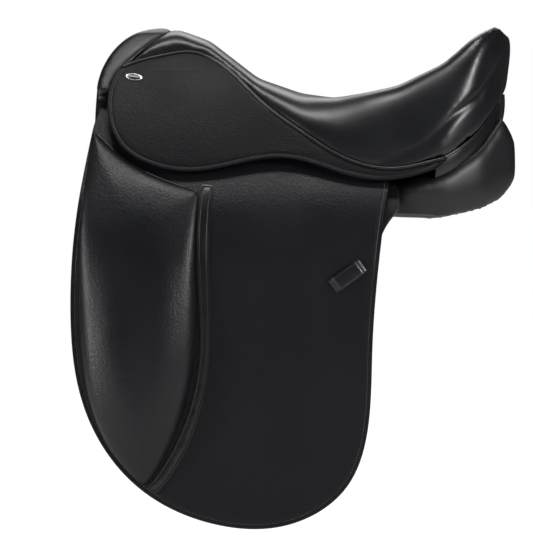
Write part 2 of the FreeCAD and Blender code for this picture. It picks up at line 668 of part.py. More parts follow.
# ---- Head roll: the panels' padded front, an inverted U round the pommel -------------------------
roll_behind = -flap_thickness - 1
roll_depth = -32.0
roll_outer = [(flap_y(30, roll_behind), 30), (flap_y(119, roll_behind), 119),
              (skirt_y(121, 0), 121), (skirt_y(150, 0), 150), (skirt_y(172, 0), 172),
              (26, 196), (0, 204)]
roll_inner = [(0, 156), (15, 150), (flap_y(120, roll_depth), 120), (flap_y(30, roll_depth), 30)]
roll_outline = [curve([(-218, 203.5), (-232, 202.5), (-261, 193), (-284, 172), (-298, 145),
                       (-304, 107), (-309, 30)])] \
    + lines([(-309, 30), (-290, 30), (-291, 112)]) \
    + [curve([(-291, 112), (-289, 130), (-277, 150), (-255, 172), (-218, 200.5)])] \
    + lines([(-218, 200.5), (-218, 203.5)])
head_roll = side_prism(roll_outline, -half_limit, half_limit)
save("head_roll", head_roll.common(arch_prism(roll_outer, roll_inner, front_x, -150)))

# ---- Cantle facing: the leather band round the rear, between seat and panels ---------------------
facing_inset = 6.0
facing_thickness = 4.0
facing = seat_plan(facing_inset, low_limit, top_limit).cut(
    seat_plan(facing_inset + facing_thickness, low_limit, top_limit))
facing_outline = lines([(70, 3), (88, 5.3), (130, 22.3), (172, 50.3), (200, 88.3), (225, 95),
                        (225, 124), (200, 115), (190, 99), (168, 67), (130, 38.4), (101, 28),
                        (70, 25.4), (70, 3)])
facing = facing.common(side_prism(facing_outline, -half_limit, half_limit))
facing = facing.cut(mirrored_pair(panel))
facing = facing.cut(seat_cover).cut(skirt_room).cut(welt_room)
save("cantle_facing", max(facing.Solids, key=lambda solid: solid.Volume))

# ---- Stirrup bars: plate, front post and flat bar, open to the rear, with a hinged catch ---------
bar_low = bar_run - bar_height / 2
bar_high = bar_run + bar_height / 2
bar_end_x = bar_front_x + bar_length
bar_outer = bar_stand_off + bar_thickness
bar_post_length = 9.0
plate = slope_box(bar_front_x, bar_front_x + plate_length, fit, plate_outer,
                  bar_run - plate_height / 2, bar_run + plate_height / 2)
post = slope_box(bar_front_x, bar_front_x + bar_post_length, plate_outer - 1, bar_outer,
                 bar_low, bar_high)
bar = slope_box(bar_front_x, bar_end_x, bar_stand_off, bar_outer, bar_low, bar_high)
catch_outer = bar_stand_off - fit
catch_inner = catch_outer - catch_thickness
catch_pivot_x = bar_end_x - 5
pin = slope_pin(catch_pivot_x, bar_run, catch_pin_radius, catch_inner - 0.6, bar_outer + 0.5)
pin_hole = slope_pin(catch_pivot_x, bar_run, catch_pin_radius + pin_clearance, -2, drill_depth)
both("stirrup_bar", plate.fuse([post, bar]).removeSplitter().cut(fastener_holes).cut(pin_hole))
catch = slope_box(catch_pivot_x, catch_pivot_x + catch_length, catch_inner, catch_outer,
                  bar_run - catch_height / 2, bar_run + catch_height / 2)
catch_eye = slope_pin(catch_pivot_x, bar_run, catch_height / 2 + 1, catch_inner, catch_outer)
catch = catch.fuse(catch_eye)
both("stirrup_catch", catch.cut(pin_hole).removeSplitter())
both("catch_pin", pin)

print("fold start", fold_start, "direction", fold_direction, "normal", fold_normal)
print("catch pivot", on_slope(catch_pivot_x, catch_outer, bar_run), "slope origin", fold_foot)
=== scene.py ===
import json
import math

import bpy
import numpy as np
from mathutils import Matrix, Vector

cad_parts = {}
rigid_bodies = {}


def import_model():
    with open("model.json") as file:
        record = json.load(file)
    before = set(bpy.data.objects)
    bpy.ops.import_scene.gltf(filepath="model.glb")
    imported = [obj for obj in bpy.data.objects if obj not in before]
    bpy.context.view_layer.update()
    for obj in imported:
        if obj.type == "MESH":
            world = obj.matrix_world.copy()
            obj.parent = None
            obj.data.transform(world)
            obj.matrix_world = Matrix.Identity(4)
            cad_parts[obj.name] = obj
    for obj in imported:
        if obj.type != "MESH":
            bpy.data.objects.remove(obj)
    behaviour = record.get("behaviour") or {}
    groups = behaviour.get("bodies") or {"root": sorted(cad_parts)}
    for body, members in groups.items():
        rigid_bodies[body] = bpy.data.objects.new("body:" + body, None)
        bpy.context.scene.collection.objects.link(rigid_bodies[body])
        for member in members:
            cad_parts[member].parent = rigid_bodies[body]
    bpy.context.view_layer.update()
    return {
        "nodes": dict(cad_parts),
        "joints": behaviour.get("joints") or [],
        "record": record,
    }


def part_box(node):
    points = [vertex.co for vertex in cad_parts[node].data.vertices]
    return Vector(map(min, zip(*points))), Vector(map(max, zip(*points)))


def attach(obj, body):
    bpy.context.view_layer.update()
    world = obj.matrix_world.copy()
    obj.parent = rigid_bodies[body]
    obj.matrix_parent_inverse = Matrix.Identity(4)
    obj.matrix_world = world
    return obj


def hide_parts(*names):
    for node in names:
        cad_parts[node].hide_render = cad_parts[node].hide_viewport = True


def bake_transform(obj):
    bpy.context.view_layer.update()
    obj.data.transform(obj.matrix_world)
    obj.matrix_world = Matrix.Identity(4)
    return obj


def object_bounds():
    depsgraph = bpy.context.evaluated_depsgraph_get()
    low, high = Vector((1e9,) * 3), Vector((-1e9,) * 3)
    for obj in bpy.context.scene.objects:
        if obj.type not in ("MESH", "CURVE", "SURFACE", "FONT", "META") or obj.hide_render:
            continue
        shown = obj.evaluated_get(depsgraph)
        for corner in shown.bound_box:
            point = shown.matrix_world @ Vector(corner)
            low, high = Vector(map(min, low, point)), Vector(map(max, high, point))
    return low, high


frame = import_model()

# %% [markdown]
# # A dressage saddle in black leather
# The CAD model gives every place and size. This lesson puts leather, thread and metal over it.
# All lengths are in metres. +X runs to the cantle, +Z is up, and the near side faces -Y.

mm = 0.001
nodes = frame["nodes"]
print("CAD model:", len(nodes), "nodes")


def active_only(obj):
    """Makes obj the one selected and active object."""
    if bpy.context.mode != "OBJECT":
        bpy.ops.object.mode_set(mode="OBJECT")
    bpy.ops.object.select_all(action="DESELECT")
    obj.hide_set(False)
    obj.select_set(True)
    bpy.context.view_layer.objects.active = obj
    return obj


def named(obj, name):
    obj.name = name
    obj.data.name = name
    return obj


def in_scene(obj):
    bpy.context.scene.collection.objects.link(obj)
    return obj


def face_outward():
    bpy.ops.mesh.normals_make_consistent(inside=False)


def edit_all(obj, *operations):
    """Runs mesh operations on the whole of obj in edit mode."""
    active_only(obj)
    bpy.ops.object.mode_set(mode="EDIT")
    bpy.ops.mesh.select_all(action="SELECT")
    for operation in operations:
        operation()
    bpy.ops.object.mode_set(mode="OBJECT")
    return obj


def select_none(obj, mode):
    """Leaves obj in edit mode with nothing selected, to pick its vertices, edges or faces."""
    active_only(obj)
    bpy.ops.object.mode_set(mode="EDIT")
    bpy.ops.mesh.select_mode(type=mode)
    bpy.ops.mesh.select_all(action="DESELECT")


def cut_cells(cuts):
    """Cuts a mesh in edit mode by planes, each given by a place and a direction."""
    for place, direction in cuts:
        bpy.ops.mesh.select_all(action="SELECT")
        bpy.ops.mesh.bisect(plane_co=place, plane_no=direction)


def modify(obj, label, kind, **settings):
    """Adds a modifier with these settings."""
    modifier = obj.modifiers.new(label, kind)
    for key, value in settings.items():
        setattr(modifier, key, value)


def round_edges(obj, width):
    modify(obj, "edge", "BEVEL", limit_method="ANGLE", angle_limit=math.radians(50), width=width, segments=3)


def apply_modifiers(obj):
    active_only(obj)
    for modifier in list(obj.modifiers):
        bpy.ops.object.modifier_apply(modifier=modifier.name)
    return obj


def joined_copy(name, *node_names):
    """One mesh at the origin that copies these CAD nodes, with its loose triangles merged."""
    copies = []
    for node_name in node_names:
        copy = nodes[node_name].copy()
        copy.data = nodes[node_name].data.copy()
        for key in list(copy.keys()):
            if key.startswith("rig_"):
                del copy[key]
        world = nodes[node_name].matrix_world.copy()
        copy.parent = None
        copy.data.transform(world)
        copy.matrix_world.identity()
        copies.append(in_scene(copy))
    active_only(copies[0])
    for copy in copies[1:]:
        copy.select_set(True)
    if len(copies) > 1:
        bpy.ops.object.join()
    obj = named(copies[0], name)
    edit_all(obj, lambda: bpy.ops.mesh.remove_doubles(threshold=0.02 * mm), face_outward)
    obj.data.materials.clear()
    return obj


def points_of(obj):
    co = np.empty(len(obj.data.vertices) * 3)
    obj.data.vertices.foreach_get("co", co)
    return co.reshape(-1, 3)


def set_points(obj, co):
    obj.data.vertices.foreach_set("co", np.asarray(co, float).reshape(-1))
    obj.data.update()


def node_points(node_name):
    copy = joined_copy("point_tool", node_name)
    co = points_of(copy)
    bpy.data.objects.remove(copy)
    return co


def shifted_copy(node_name, offset):
    """A copy of a CAD node, moved by an offset."""
    copy = joined_copy(node_name + "_copy", node_name)
    set_points(copy, points_of(copy) + offset)
    return copy


def turned(axis, i):
    """The axis, turned so that its coordinate i isn't negative."""
    return -axis if axis[i] < 0 else axis


def unit_rows(rows):
    """Each row made one long."""
    return rows / np.maximum(np.linalg.norm(rows, axis=1), 1e-9)[:, None]


def eased(line, passes):
    """An open line with its points drawn towards their neighbours, its ends kept."""
    for _ in range(passes):
        line[1:-1] = 0.5 * line[1:-1] + 0.25 * (line[2:] + line[:-2])
    return line


def ramp(values, start, length):
    """0 up to start, 1 from start + length on, and straight between."""
    return np.clip((values - start) / length, 0, 1)


def smooth(obj, degrees=40):
    active_only(obj)
    bpy.ops.object.shade_smooth_by_angle(angle=math.radians(degrees))
    return obj


# %% [markdown]
# ## Outline and surface of a sheet
# A flap or a skirt is one hide cut to an outline and laid on a surface that is straight in X.
# The CAD cuts it in two at the fold, so its outline is chained from both parts' rims.
# The surface is read as a curve of Y against Z, smooth through the CAD model's own points.

# %% Outline and surface helpers
outer_lean = 0.62      # a face whose normal leans out this much is on the sheet's outer side
wall_lean = 0.09       # a face whose normal leans out less is on its rim


def rim_chain(node_name):
    """The (x, y, z) points along the outer rim of a CAD sheet, and all its outer points."""
    copy = joined_copy("rim_tool", node_name)
    mesh = copy.data
    co = points_of(copy)
    outward = 1 if co[:, 1].mean() > 0 else -1
    kind = {}
    for polygon in mesh.polygons:
        lean = polygon.normal.y * outward
        kind[polygon.index] = "outer" if lean > outer_lean else "wall" if abs(lean) < wall_lean else "other"
    faces_of = {}
    for polygon in mesh.polygons:
        for key in polygon.edge_keys:
            faces_of.setdefault(key, []).append(kind[polygon.index])
    links = {}
    for (a, b), kinds in faces_of.items():
        if sorted(kinds) == ["outer", "wall"]:
            links.setdefault(a, []).append(b)
            links.setdefault(b, []).append(a)
    outer = sorted({v for p in mesh.polygons if kind[p.index] == "outer" for v in p.vertices})
    outer_points = co[outer]
    chains = []
    seen = set()
    for start in sorted(links, key=lambda v: len(links[v])):
        if start in seen:
            continue
        chain = [start]
        seen.add(start)
        while True:
            step = [v for v in links[chain[-1]] if v not in seen]
            if not step:
                break
            chain.append(step[0])
            seen.add(step[0])
        chains.append(co[chain])
    bpy.data.objects.remove(copy)
    longest = max(chains, key=lambda c: np.linalg.norm(np.diff(c, axis=0), axis=1).sum())
    return longest, outer_points


def resampled(line, spacing, closed=True):
    """Points spaced evenly along a line, corners kept within one spacing."""
    line = np.asarray(line, float)
    if closed:
        line = np.vstack([line, line[:1]])
    length = np.concatenate([[0], np.cumsum(np.linalg.norm(np.diff(line, axis=0), axis=1))])
    count = max(8, int(round(length[-1] / spacing)))
    places = np.linspace(0, length[-1], count + 1)
    if closed:
        places = places[:-1]
    return np.column_stack([np.interp(places, length, line[:, i]) for i in range(line.shape[1])])


def rounded(outline, passes):
    """An evenly spaced closed outline with its corners eased."""
    for _ in range(passes):
        outline = 0.5 * outline + 0.25 * (np.roll(outline, 1, axis=0) + np.roll(outline, -1, axis=0))
    return outline


def sheet_shape(*node_names):
    """The closed (x, z) outline of one sheet and its outer points, from one or two CAD nodes."""
    parts = [rim_chain(n) for n in node_names]
    outline = parts[0][0][:, [0, 2]]
    for chain, _ in parts[1:]:
        flat = chain[:, [0, 2]]
        if np.linalg.norm(flat[0] - outline[-1]) > np.linalg.norm(flat[-1] - outline[-1]):
            flat = flat[::-1]
        outline = np.vstack([outline, flat])
    area = np.sum(outline[:, 0] * np.roll(outline[:, 1], -1) - np.roll(outline[:, 0], -1) * outline[:, 1])
    if area < 0:
        outline = outline[::-1]
    outer = np.vstack([points for _, points in parts])
    return outline, outer


class Surface:
    """Y against Z of a surface that is straight in X, smooth through the given points."""

    def __init__(self, outer, spacing=9 * mm):
        order = outer[np.argsort(outer[:, 2])]
        kept = [order[0]]
        for point in order[1:]:
            if point[2] - kept[-1][2] >= spacing:
                kept.append(point)
        self.z = np.array([p[2] for p in kept])
        self.y = np.array([p[1] for p in kept])
        self.slope = np.gradient(self.y, self.z)

    def at(self, z):
        z = np.asarray(z, float)
        i = np.clip(np.searchsorted(self.z, z) - 1, 0, len(self.z) - 2)
        width = self.z[i + 1] - self.z[i]
        t = (z - self.z[i]) / width
        inside = np.clip(t, 0, 1)
        y = ((2 * inside ** 3 - 3 * inside ** 2 + 1) * self.y[i]
             + (inside ** 3 - 2 * inside ** 2 + inside) * width * self.slope[i]
             + (-2 * inside ** 3 + 3 * inside ** 2) * self.y[i + 1]
             + (inside ** 3 - inside ** 2) * width * self.slope[i + 1])
        beyond = t - inside
        edge_slope = np.where(beyond > 0, self.slope[i + 1], self.slope[i])
        return y + beyond * width * edge_slope

    def normal(self, z):
        """Unit normal out of the off-side surface in the YZ plane, for rows of z."""
        step = 0.5 * mm
        tilt = (self.at(np.asarray(z) + step) - self.at(np.asarray(z) - step)) / (2 * step)
        n = np.column_stack([np.zeros_like(tilt), np.ones_like(tilt), -tilt])
        return n / np.linalg.norm(n, axis=1)[:, None]


def edge_distance(points, outline):
    """Distance of each (x, z) point from a closed outline."""
    points = np.asarray(points, float)
    best = np.full(len(points), 9.0)
    for a, b in zip(outline, np.roll(outline, -1, axis=0)):
        along = b - a
        length = max(float(along @ along), 1e-12)
        t = np.clip(((points - a) @ along) / length, 0, 1)
        gap = points - a - t[:, None] * along
        best = np.minimum(best, np.hypot(gap[:, 0], gap[:, 1]))
    return best


def column_span(outline, level, axis):
    """Lowest and highest crossing of a closed outline with a line at one coordinate."""
    other = 1 - axis
    crossings = []
    for a, b in zip(outline, np.roll(outline, -1, axis=0)):
        if (a[axis] - level) * (b[axis] - level) <= 0 and abs(a[axis] - b[axis]) > 1e-9:
            t = (level - a[axis]) / (b[axis] - a[axis])
            crossings.append(a[other] + t * (b[other] - a[other]))
    return (min(crossings), max(crossings)) if crossings else None


def inward_of(outline):
    """The direction into a closed outline at each of its points."""
    along = unit_rows(np.roll(outline, -2, axis=0) - np.roll(outline, 2, axis=0))
    return np.column_stack([-along[:, 1], along[:, 0]])


def inset_line(outline, distance):
    """A closed outline drawn in by a distance, its own corners rounded off."""
    moved = outline + inward_of(outline) * distance
    keep = edge_distance(moved, outline) > 0.93 * distance
    return moved[keep]


def seam_line(outline, spacing, distance):
    """A stitching line drawn in from a closed outline, its points evenly spaced."""
    return resampled(inset_line(resampled(outline, spacing), distance), spacing)


def opened_at_gap(line):
    """A closed row of points that starts after its widest gap."""
    gaps = np.linalg.norm(line - np.roll(line, 1, axis=0), axis=1)
    return np.roll(line, -int(np.argmax(gaps)), axis=0)

# %% [markdown]
# ## A sheet of leather from an outline
# A filled circle takes the outline, is inset in rings near its edge and cut into cells inside.
# The rings let the edge be turned, pressed and stitched, and the cells let the sheet bend.
# Solidify gives the hide its thickness, and a bevel rounds the cut edge.

# %% Sheet helpers
def ring_scale(outline, deepest):
    """For each outline point, how far the rings may reach in, so that they never cross."""
    inward = inward_of(outline)
    span = np.roll(outline, -1, axis=0) - outline
    depth = np.full(len(outline), 1.0)
    for i, (point, direction) in enumerate(zip(outline, inward)):
        cross = direction[0] * span[:, 1] - direction[1] * span[:, 0]
        cross = np.where(np.abs(cross) < 1e-12, 1e-12, cross)
        gap = outline - point
        reach = (gap[:, 0] * span[:, 1] - gap[:, 1] * span[:, 0]) / cross
        share = (gap[:, 0] * direction[1] - gap[:, 1] * direction[0]) / cross
        met = reach[(share >= 0) & (share <= 1) & (reach > 0.5 * mm)]
        if len(met):
            depth[i] = met.min()
    scale = np.clip(0.4 * depth / deepest, 0, 1)
    for _ in range(4):
        scale = np.minimum(scale, 0.5 * scale + 0.25 * (np.roll(scale, 1) + np.roll(scale, -1)))
    return inward, scale


def flat_face(name, outline, rings, cell, fold_cuts=()):
    """A flat mesh in the XZ plane that fills an outline, with rings by its edge and cells inside."""
    bpy.ops.mesh.primitive_circle_add(vertices=len(outline), radius=0.1, fill_type="NGON")
    obj = named(bpy.context.view_layer.objects.active, name)
    set_points(obj, [(x, 0, z) for x, z in outline])
    active_only(obj)
    bpy.ops.object.mode_set(mode="EDIT")
    bpy.ops.mesh.select_mode(type="FACE")
    bpy.ops.mesh.select_all(action="SELECT")
    inward, scale = ring_scale(outline, rings[-1])
    last = outline
    for ring in rings:
        bpy.ops.mesh.inset(thickness=0.02 * mm, depth=0, use_even_offset=False)
        bpy.ops.object.mode_set(mode="OBJECT")
        loop = list(next(p for p in obj.data.polygons if p.select).vertices)
        co = points_of(obj)
        first = int(np.argmin(np.linalg.norm(last - co[loop[0]][[0, 2]], axis=1)))
        after = co[loop[1]][[0, 2]]
        ahead = np.linalg.norm(last[(first + 1) % len(last)] - after)
        behind = np.linalg.norm(last[first - 1] - after)
        order = (first + (1 if ahead < behind else -1) * np.arange(len(loop))) % len(last)
        last = outline + inward * (ring * scale)[:, None]
        co[loop] = np.column_stack([last[order, 0], np.zeros(len(loop)), last[order, 1]])
        set_points(obj, co)
        bpy.ops.object.mode_set(mode="EDIT")
    bpy.ops.mesh.hide(unselected=True)
    low, high = outline.min(axis=0), outline.max(axis=0)
    cuts = [((x, 0, 0), (1, 0, 0)) for x in np.arange(low[0] + cell, high[0], cell)]
    cuts += [((0, 0, z), (0, 0, 1)) for z in np.arange(low[1] + cell, high[1], cell)]
    cut_cells(cuts + list(fold_cuts))
    bpy.ops.mesh.reveal()
    bpy.ops.mesh.select_all(action="SELECT")
    bpy.ops.mesh.flip_normals()
    bpy.ops.object.mode_set(mode="OBJECT")
    return obj


def ripple(co, size):
    """Slow, uneven waves of a hide that lies on padding."""
    x, z = co[:, 0], co[:, 2]
    return size * (np.sin(x * 23 + z * 11 + 0.4) * 0.5 + np.sin(z * 31 - x * 13 + 1.7) * 0.3
                   + np.sin(x * 47 + z * 39) * 0.2)


def leather_sheet(name, outline, surface, thickness, rings, heights, cell, fold_cuts=(),
                  wave=0.25 * mm, round_by=1.2 * mm):
    """A sheet on the off side: edge rings pressed to the given heights, thickness and round edges."""
    obj = flat_face(name, outline, rings, cell, fold_cuts)
    co = points_of(obj)
    inside = edge_distance(co[:, [0, 2]], outline)
    co[:, 1] = surface.at(co[:, 2]) + np.interp(inside, (0, *rings), (0, *heights))
    co[:, 1] += ripple(co, wave) * np.clip(inside / (20 * mm), 0, 1)
    set_points(obj, co)
    modify(obj, "thickness", "SOLIDIFY", thickness=thickness, offset=-1)
    round_edges(obj, round_by)
    return smooth(apply_modifiers(obj))


def one_piece(base, *extras):
    """Joins small pieces into the one that carries them."""
    active_only(base)
    for extra in extras:
        extra.select_set(True)
    bpy.ops.object.join()
    return base


def near_copy(obj, name):
    """The same piece mirrored to the near side."""
    other = obj.copy()
    other.data = obj.data.copy()
    in_scene(named(other, name))
    set_points(other, points_of(other) * (1, -1, 1))
    return edit_all(other, bpy.ops.mesh.flip_normals)


def both_sides(obj, name):
    """Names a finished off-side piece and mirrors it: {"right": ..., "left": ...}."""
    return {"right": named(obj, name + "_right"), "left": near_copy(obj, name + "_left")}


# %% [markdown]
# ## Thread and piping
# A stitch is a small capsule that dips into the leather at both ends.
# One capsule is copied along a line, with its length on the line and its back on the surface.
# Piping is a round cord covered in leather, so it is a curve with a round section.

# %% Stitches and piping
stitch_twist = 0.14    # radians that each stitch leans from its row


def stitch_row(name, line, normals, pitch=3.8 * mm, length=3.0 * mm, width=1.1 * mm, height=0.9 * mm,
               closed=False):
    """Stitches along a 3-D line whose points carry surface normals."""
    joined = resampled(np.hstack([line, normals]), pitch, closed)
    places, backs = joined[:, :3], joined[:, 3:]
    along = np.gradient(places, axis=0)
    if closed:
        along = np.roll(places, -1, axis=0) - np.roll(places, 1, axis=0)
    along = unit_rows(along)
    backs = unit_rows(backs - np.sum(backs * along, axis=1)[:, None] * along)
    across = np.cross(backs, along)
    bpy.ops.mesh.primitive_uv_sphere_add(segments=8, ring_count=6, radius=0.5)
    capsule = bpy.context.view_layer.objects.active
    shape = points_of(capsule)[:, [2, 0, 1]] * (length, width, height)
    faces = [tuple(p.vertices) for p in capsule.data.polygons]
    bpy.data.objects.remove(capsule)
    vertices = []
    polygons = []
    for i in range(len(places)):
        lean = along[i] * math.cos(stitch_twist) + across[i] * math.sin(stitch_twist)
        side = np.cross(backs[i], lean)
        base = len(vertices)
        spots = places[i] + shape[:, :1] * lean + shape[:, 1:2] * side + shape[:, 2:] * backs[i]
        vertices.extend(spots.tolist())
        polygons.extend(tuple(v + base for v in face) for face in faces)
    mesh = bpy.data.meshes.new(name)
    mesh.from_pydata(vertices, [], polygons)
    return smooth(edit_all(in_scene(bpy.data.objects.new(name, mesh)), face_outward), 180)


def piping(name, line, radius, closed=False):
    """A covered cord along a 3-D line, closed at its ends."""
    curve = bpy.data.curves.new(name, "CURVE")
    curve.dimensions = "3D"
    curve.bevel_depth = radius
    curve.bevel_resolution = 4
    curve.use_fill_caps = True
    spline = curve.splines.new("POLY")
    spline.points.add(len(line) - 1)
    for point, place in zip(spline.points, line):
        point.co = (*place, 1)
    spline.use_cyclic_u = closed
    active_only(in_scene(bpy.data.objects.new(name, curve)))
    bpy.ops.object.convert(target="MESH")
    return smooth(named(bpy.context.view_layer.objects.active, name), 60)


def on_surface(flat, surface, lift):
    """3-D points and normals on an off-side surface, from (x, z) points."""
    flat = np.asarray(flat, float)
    normals = surface.normal(flat[:, 1])
    places = np.column_stack([flat[:, 0], surface.at(flat[:, 1]), flat[:, 1]])
    return places + normals * lift, normals


# %% [markdown]
# ## Where flap and skirt fold
# Flap and skirt lift about one line on each side, which the CAD model gives as a joint.
# The sheets bend over a short stretch below that line, so cuts run along it for a round bend.
# The skirt crosses two joints, so it is parted on a line inside the bend, 16 mm below the fold.

# %% Fold lines
joint = {j["name"]: j for j in frame["joints"]}
fold_at = Vector(joint["flap_lift_right"]["pos_m"])
fold_axis = turned(Vector(joint["flap_lift_right"]["axis"]).normalized(), 0)
fold_out = turned(Vector((0, -fold_axis.z, fold_axis.y)).normalized(), 1)
fold_down = fold_axis.cross(fold_out)
if fold_down.z > 0:
    fold_down = -fold_down
skirt_cut = 16 * mm
bend_length = 24 * mm


def beside_fold(distance, side=1):
    """A point a distance below the fold line."""
    place = fold_at + fold_down * distance
    return Vector((place.x, side * place.y, place.z))


def flat_fold_cuts(first, last, step):
    """Cuts along the fold for a sheet that is still flat in the XZ plane."""
    flat_axis = Vector((fold_axis.x, 0, fold_axis.z)).normalized()
    flat_down = Vector((-flat_axis.z, 0, flat_axis.x))
    if flat_down.z > 0:
        flat_down = -flat_down
    return [((fold_at.x + flat_down.x * d, 0, fold_at.z + flat_down.z * d), tuple(flat_down))
            for d in np.arange(first, last, step)]


print("fold runs from", [round(c, 3) for c in fold_at], "along", [round(c, 3) for c in fold_axis])

# %% [markdown]
# ## Flap
# The flap is one bridle-leather sheet with a pressed channel inside its edge for the stitching.
# Its head stays on the tree, so cuts run across the sheet below the fold, where it would bend between the
# saddle and the flap.
# The lower half of the rim carries the stitches, the upper end is hidden under the skirt.

# %% Flap
edge_rings = (1.2 * mm, 2.6 * mm, 4.2 * mm, 5.2 * mm, 6.4 * mm, 10 * mm, 18 * mm)
edge_heights = (0.15 * mm, 0.35 * mm, 0.0 * mm, -0.35 * mm, 0.0 * mm, 0.25 * mm, 0.0 * mm)
flap_outline, flap_outer = sheet_shape("flap_head_right", "flap_right")
flap_outline = rounded(resampled(flap_outline, 4 * mm), 3)
flap_surface = Surface(flap_outer)
flap = leather_sheet("flap", flap_outline, flap_surface, 4.4 * mm, edge_rings, edge_heights, 12 * mm,
                     flat_fold_cuts(-6 * mm, 40 * mm, 4 * mm))
flap_line = seam_line(flap_outline, 2 * mm, 5.2 * mm)
stitches_end_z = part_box("flap_right")[1].z - 70 * mm
highest = int(np.argmax(flap_line[:, 1]))
flap_line = np.roll(flap_line, -highest, axis=0)
flap_line = flap_line[flap_line[:, 1] < stitches_end_z]
places, normals = on_surface(flap_line, flap_surface, -0.2 * mm)
flap_stitches = stitch_row("flap_stitches", places, normals)
print("flap:", len(flap.data.vertices), "vertices")

# %% [markdown]
# ## Skirt
# The skirt is cut the same way. Its upper edge goes under the seat welt, its lobe lies over the flap.
# After it is solid it is parted on a line below the fold, into an upper part and a lobe.

# %% Skirt
skirt_outline, skirt_outer = sheet_shape("skirt_band_right", "skirt_right")
skirt_outline = rounded(resampled(skirt_outline, 3.4 * mm), 2)
skirt_surface = Surface(skirt_outer)
skirt_rings = (1.0 * mm, 2.2 * mm, 3.6 * mm, 4.6 * mm, 5.8 * mm, 9 * mm, 16 * mm)
skirt_heights = (0.2 * mm, 0.35 * mm, 0.05 * mm, -0.4 * mm, 0.05 * mm, 0.3 * mm, 0.0 * mm)
skirt = leather_sheet("skirt", skirt_outline, skirt_surface, 3.9 * mm, skirt_rings, skirt_heights, 9 * mm,
                      flat_fold_cuts(-8 * mm, 56 * mm, 4 * mm))


def part_of(obj, name, keep_below):
    """The part of a closed piece on one side of the skirt's cut."""
    part = obj.copy()
    part.data = obj.data.copy()
    in_scene(named(part, name))
    return smooth(edit_all(part, lambda: bpy.ops.mesh.bisect(
        plane_co=beside_fold(skirt_cut), plane_no=fold_down, use_fill=True,
        clear_inner=keep_below, clear_outer=not keep_below)))


skirt_upper = part_of(skirt, "skirt_upper", False)
skirt_lobe = part_of(skirt, "skirt_lobe", True)
bpy.data.objects.remove(skirt)

skirt_line = seam_line(skirt_outline, 2 * mm, 4.6 * mm)
welt_outline, _ = sheet_shape("seat_welt_right")
welt_distance = edge_distance(skirt_line, resampled(welt_outline, 3 * mm))
skirt_line = opened_at_gap(skirt_line[welt_distance > 1.5 * mm])
skirt_places, skirt_normals = on_surface(skirt_line, skirt_surface, -0.25 * mm)
below = (skirt_places - np.array(beside_fold(skirt_cut))) @ np.array(fold_down)


def runs_of(mask):
    """Slices of consecutive true values."""
    edges = np.flatnonzero(np.diff(np.concatenate([[0], mask.astype(int), [0]])))
    return [slice(a, b) for a, b in zip(edges[::2], edges[1::2]) if b - a > 3]


upper_rows = [stitch_row("skirt_upper_stitches", skirt_places[r], skirt_normals[r])
              for r in runs_of(below < -1 * mm)]
lobe_rows = [stitch_row("skirt_lobe_stitches", skirt_places[r], skirt_normals[r])
             for r in runs_of(below > 1 * mm)]
print("skirt rows:", len(upper_rows), "above the cut,", len(lobe_rows), "below")

# %% [markdown]
# ## Thigh block
# The block is a stuffed leather pocket sewn to the flap, thick at mid height and thin at its ends.
# Its outline is filled like a sheet, then raised into a crown that falls steeply at the edge.
# The rim is carried down to the flap, so the cushion is closed behind.

# %% Thigh block
block_outline, block_outer = sheet_shape("thigh_block_right")
block_outline = rounded(resampled(block_outline, 3 * mm), 5)
block_surface = Surface(block_outer, 14 * mm)
block_rings = (0.6 * mm, 1.4 * mm, 2.4 * mm, 3.6 * mm, 5 * mm)


def crowned(co, outline, floor_y, full_y, rim, shoulder, crown):
    """Y of a stuffed surface: rim thick at its edge, rounding up to its full height."""
    inside = np.clip(edge_distance(co[:, [0, 2]], outline), 0, crown)
    quick = np.sqrt(np.clip(1 - (1 - np.clip(inside / shoulder, 0, 1)) ** 2, 0, 1))
    slow = np.sin(0.5 * math.pi * inside / crown)
    share = 0.45 * quick + 0.55 * slow
    return floor_y + rim + np.maximum(full_y - floor_y - rim, 0) * share


def closed_behind(obj, floor_of):
    """Carries an open cushion's rim down to the surface it is sewn on and closes it."""
    select_none(obj, "EDGE")
    bpy.ops.mesh.select_non_manifold()
    bpy.ops.mesh.extrude_edges_move()
    bpy.ops.mesh.edge_face_add()
    bpy.ops.object.mode_set(mode="OBJECT")
    co = points_of(obj)
    moved = np.array([v.select for v in obj.data.vertices])
    co[moved, 1] = floor_of(co[moved, 2])
    set_points(obj, co)
    return edit_all(obj, face_outward)


block = flat_face("block", block_outline, block_rings, 5 * mm)
co = points_of(block)
floor_y = flap_surface.at(co[:, 2])
full_y = block_surface.at(co[:, 2])
co[:, 1] = crowned(co, block_outline, floor_y, full_y, 3.2 * mm, 12 * mm, 52 * mm)
co[:, 1] += ripple(co, 0.4 * mm)
set_points(block, co)
block = smooth(closed_behind(block, lambda z: flap_surface.at(z) + 0.1 * mm), 60)

# %% [markdown]
# The block's edge is finished with a thin folded binding, which catches the light as a fine line.

# %% Block edge
block_rim = inset_line(resampled(block_outline, 3 * mm), 1.0 * mm)
rim_places, _ = on_surface(block_rim, flap_surface, 2.7 * mm)
block_edge = piping("block_edge", rim_places, 1.15 * mm, closed=True)

# %% [markdown]
# ## Band beside the block
# A strip of leather covers the block's rear seam. Its edge on the block's side is drawn
# out over the seam, and two rows of stitches hold it to the flap.

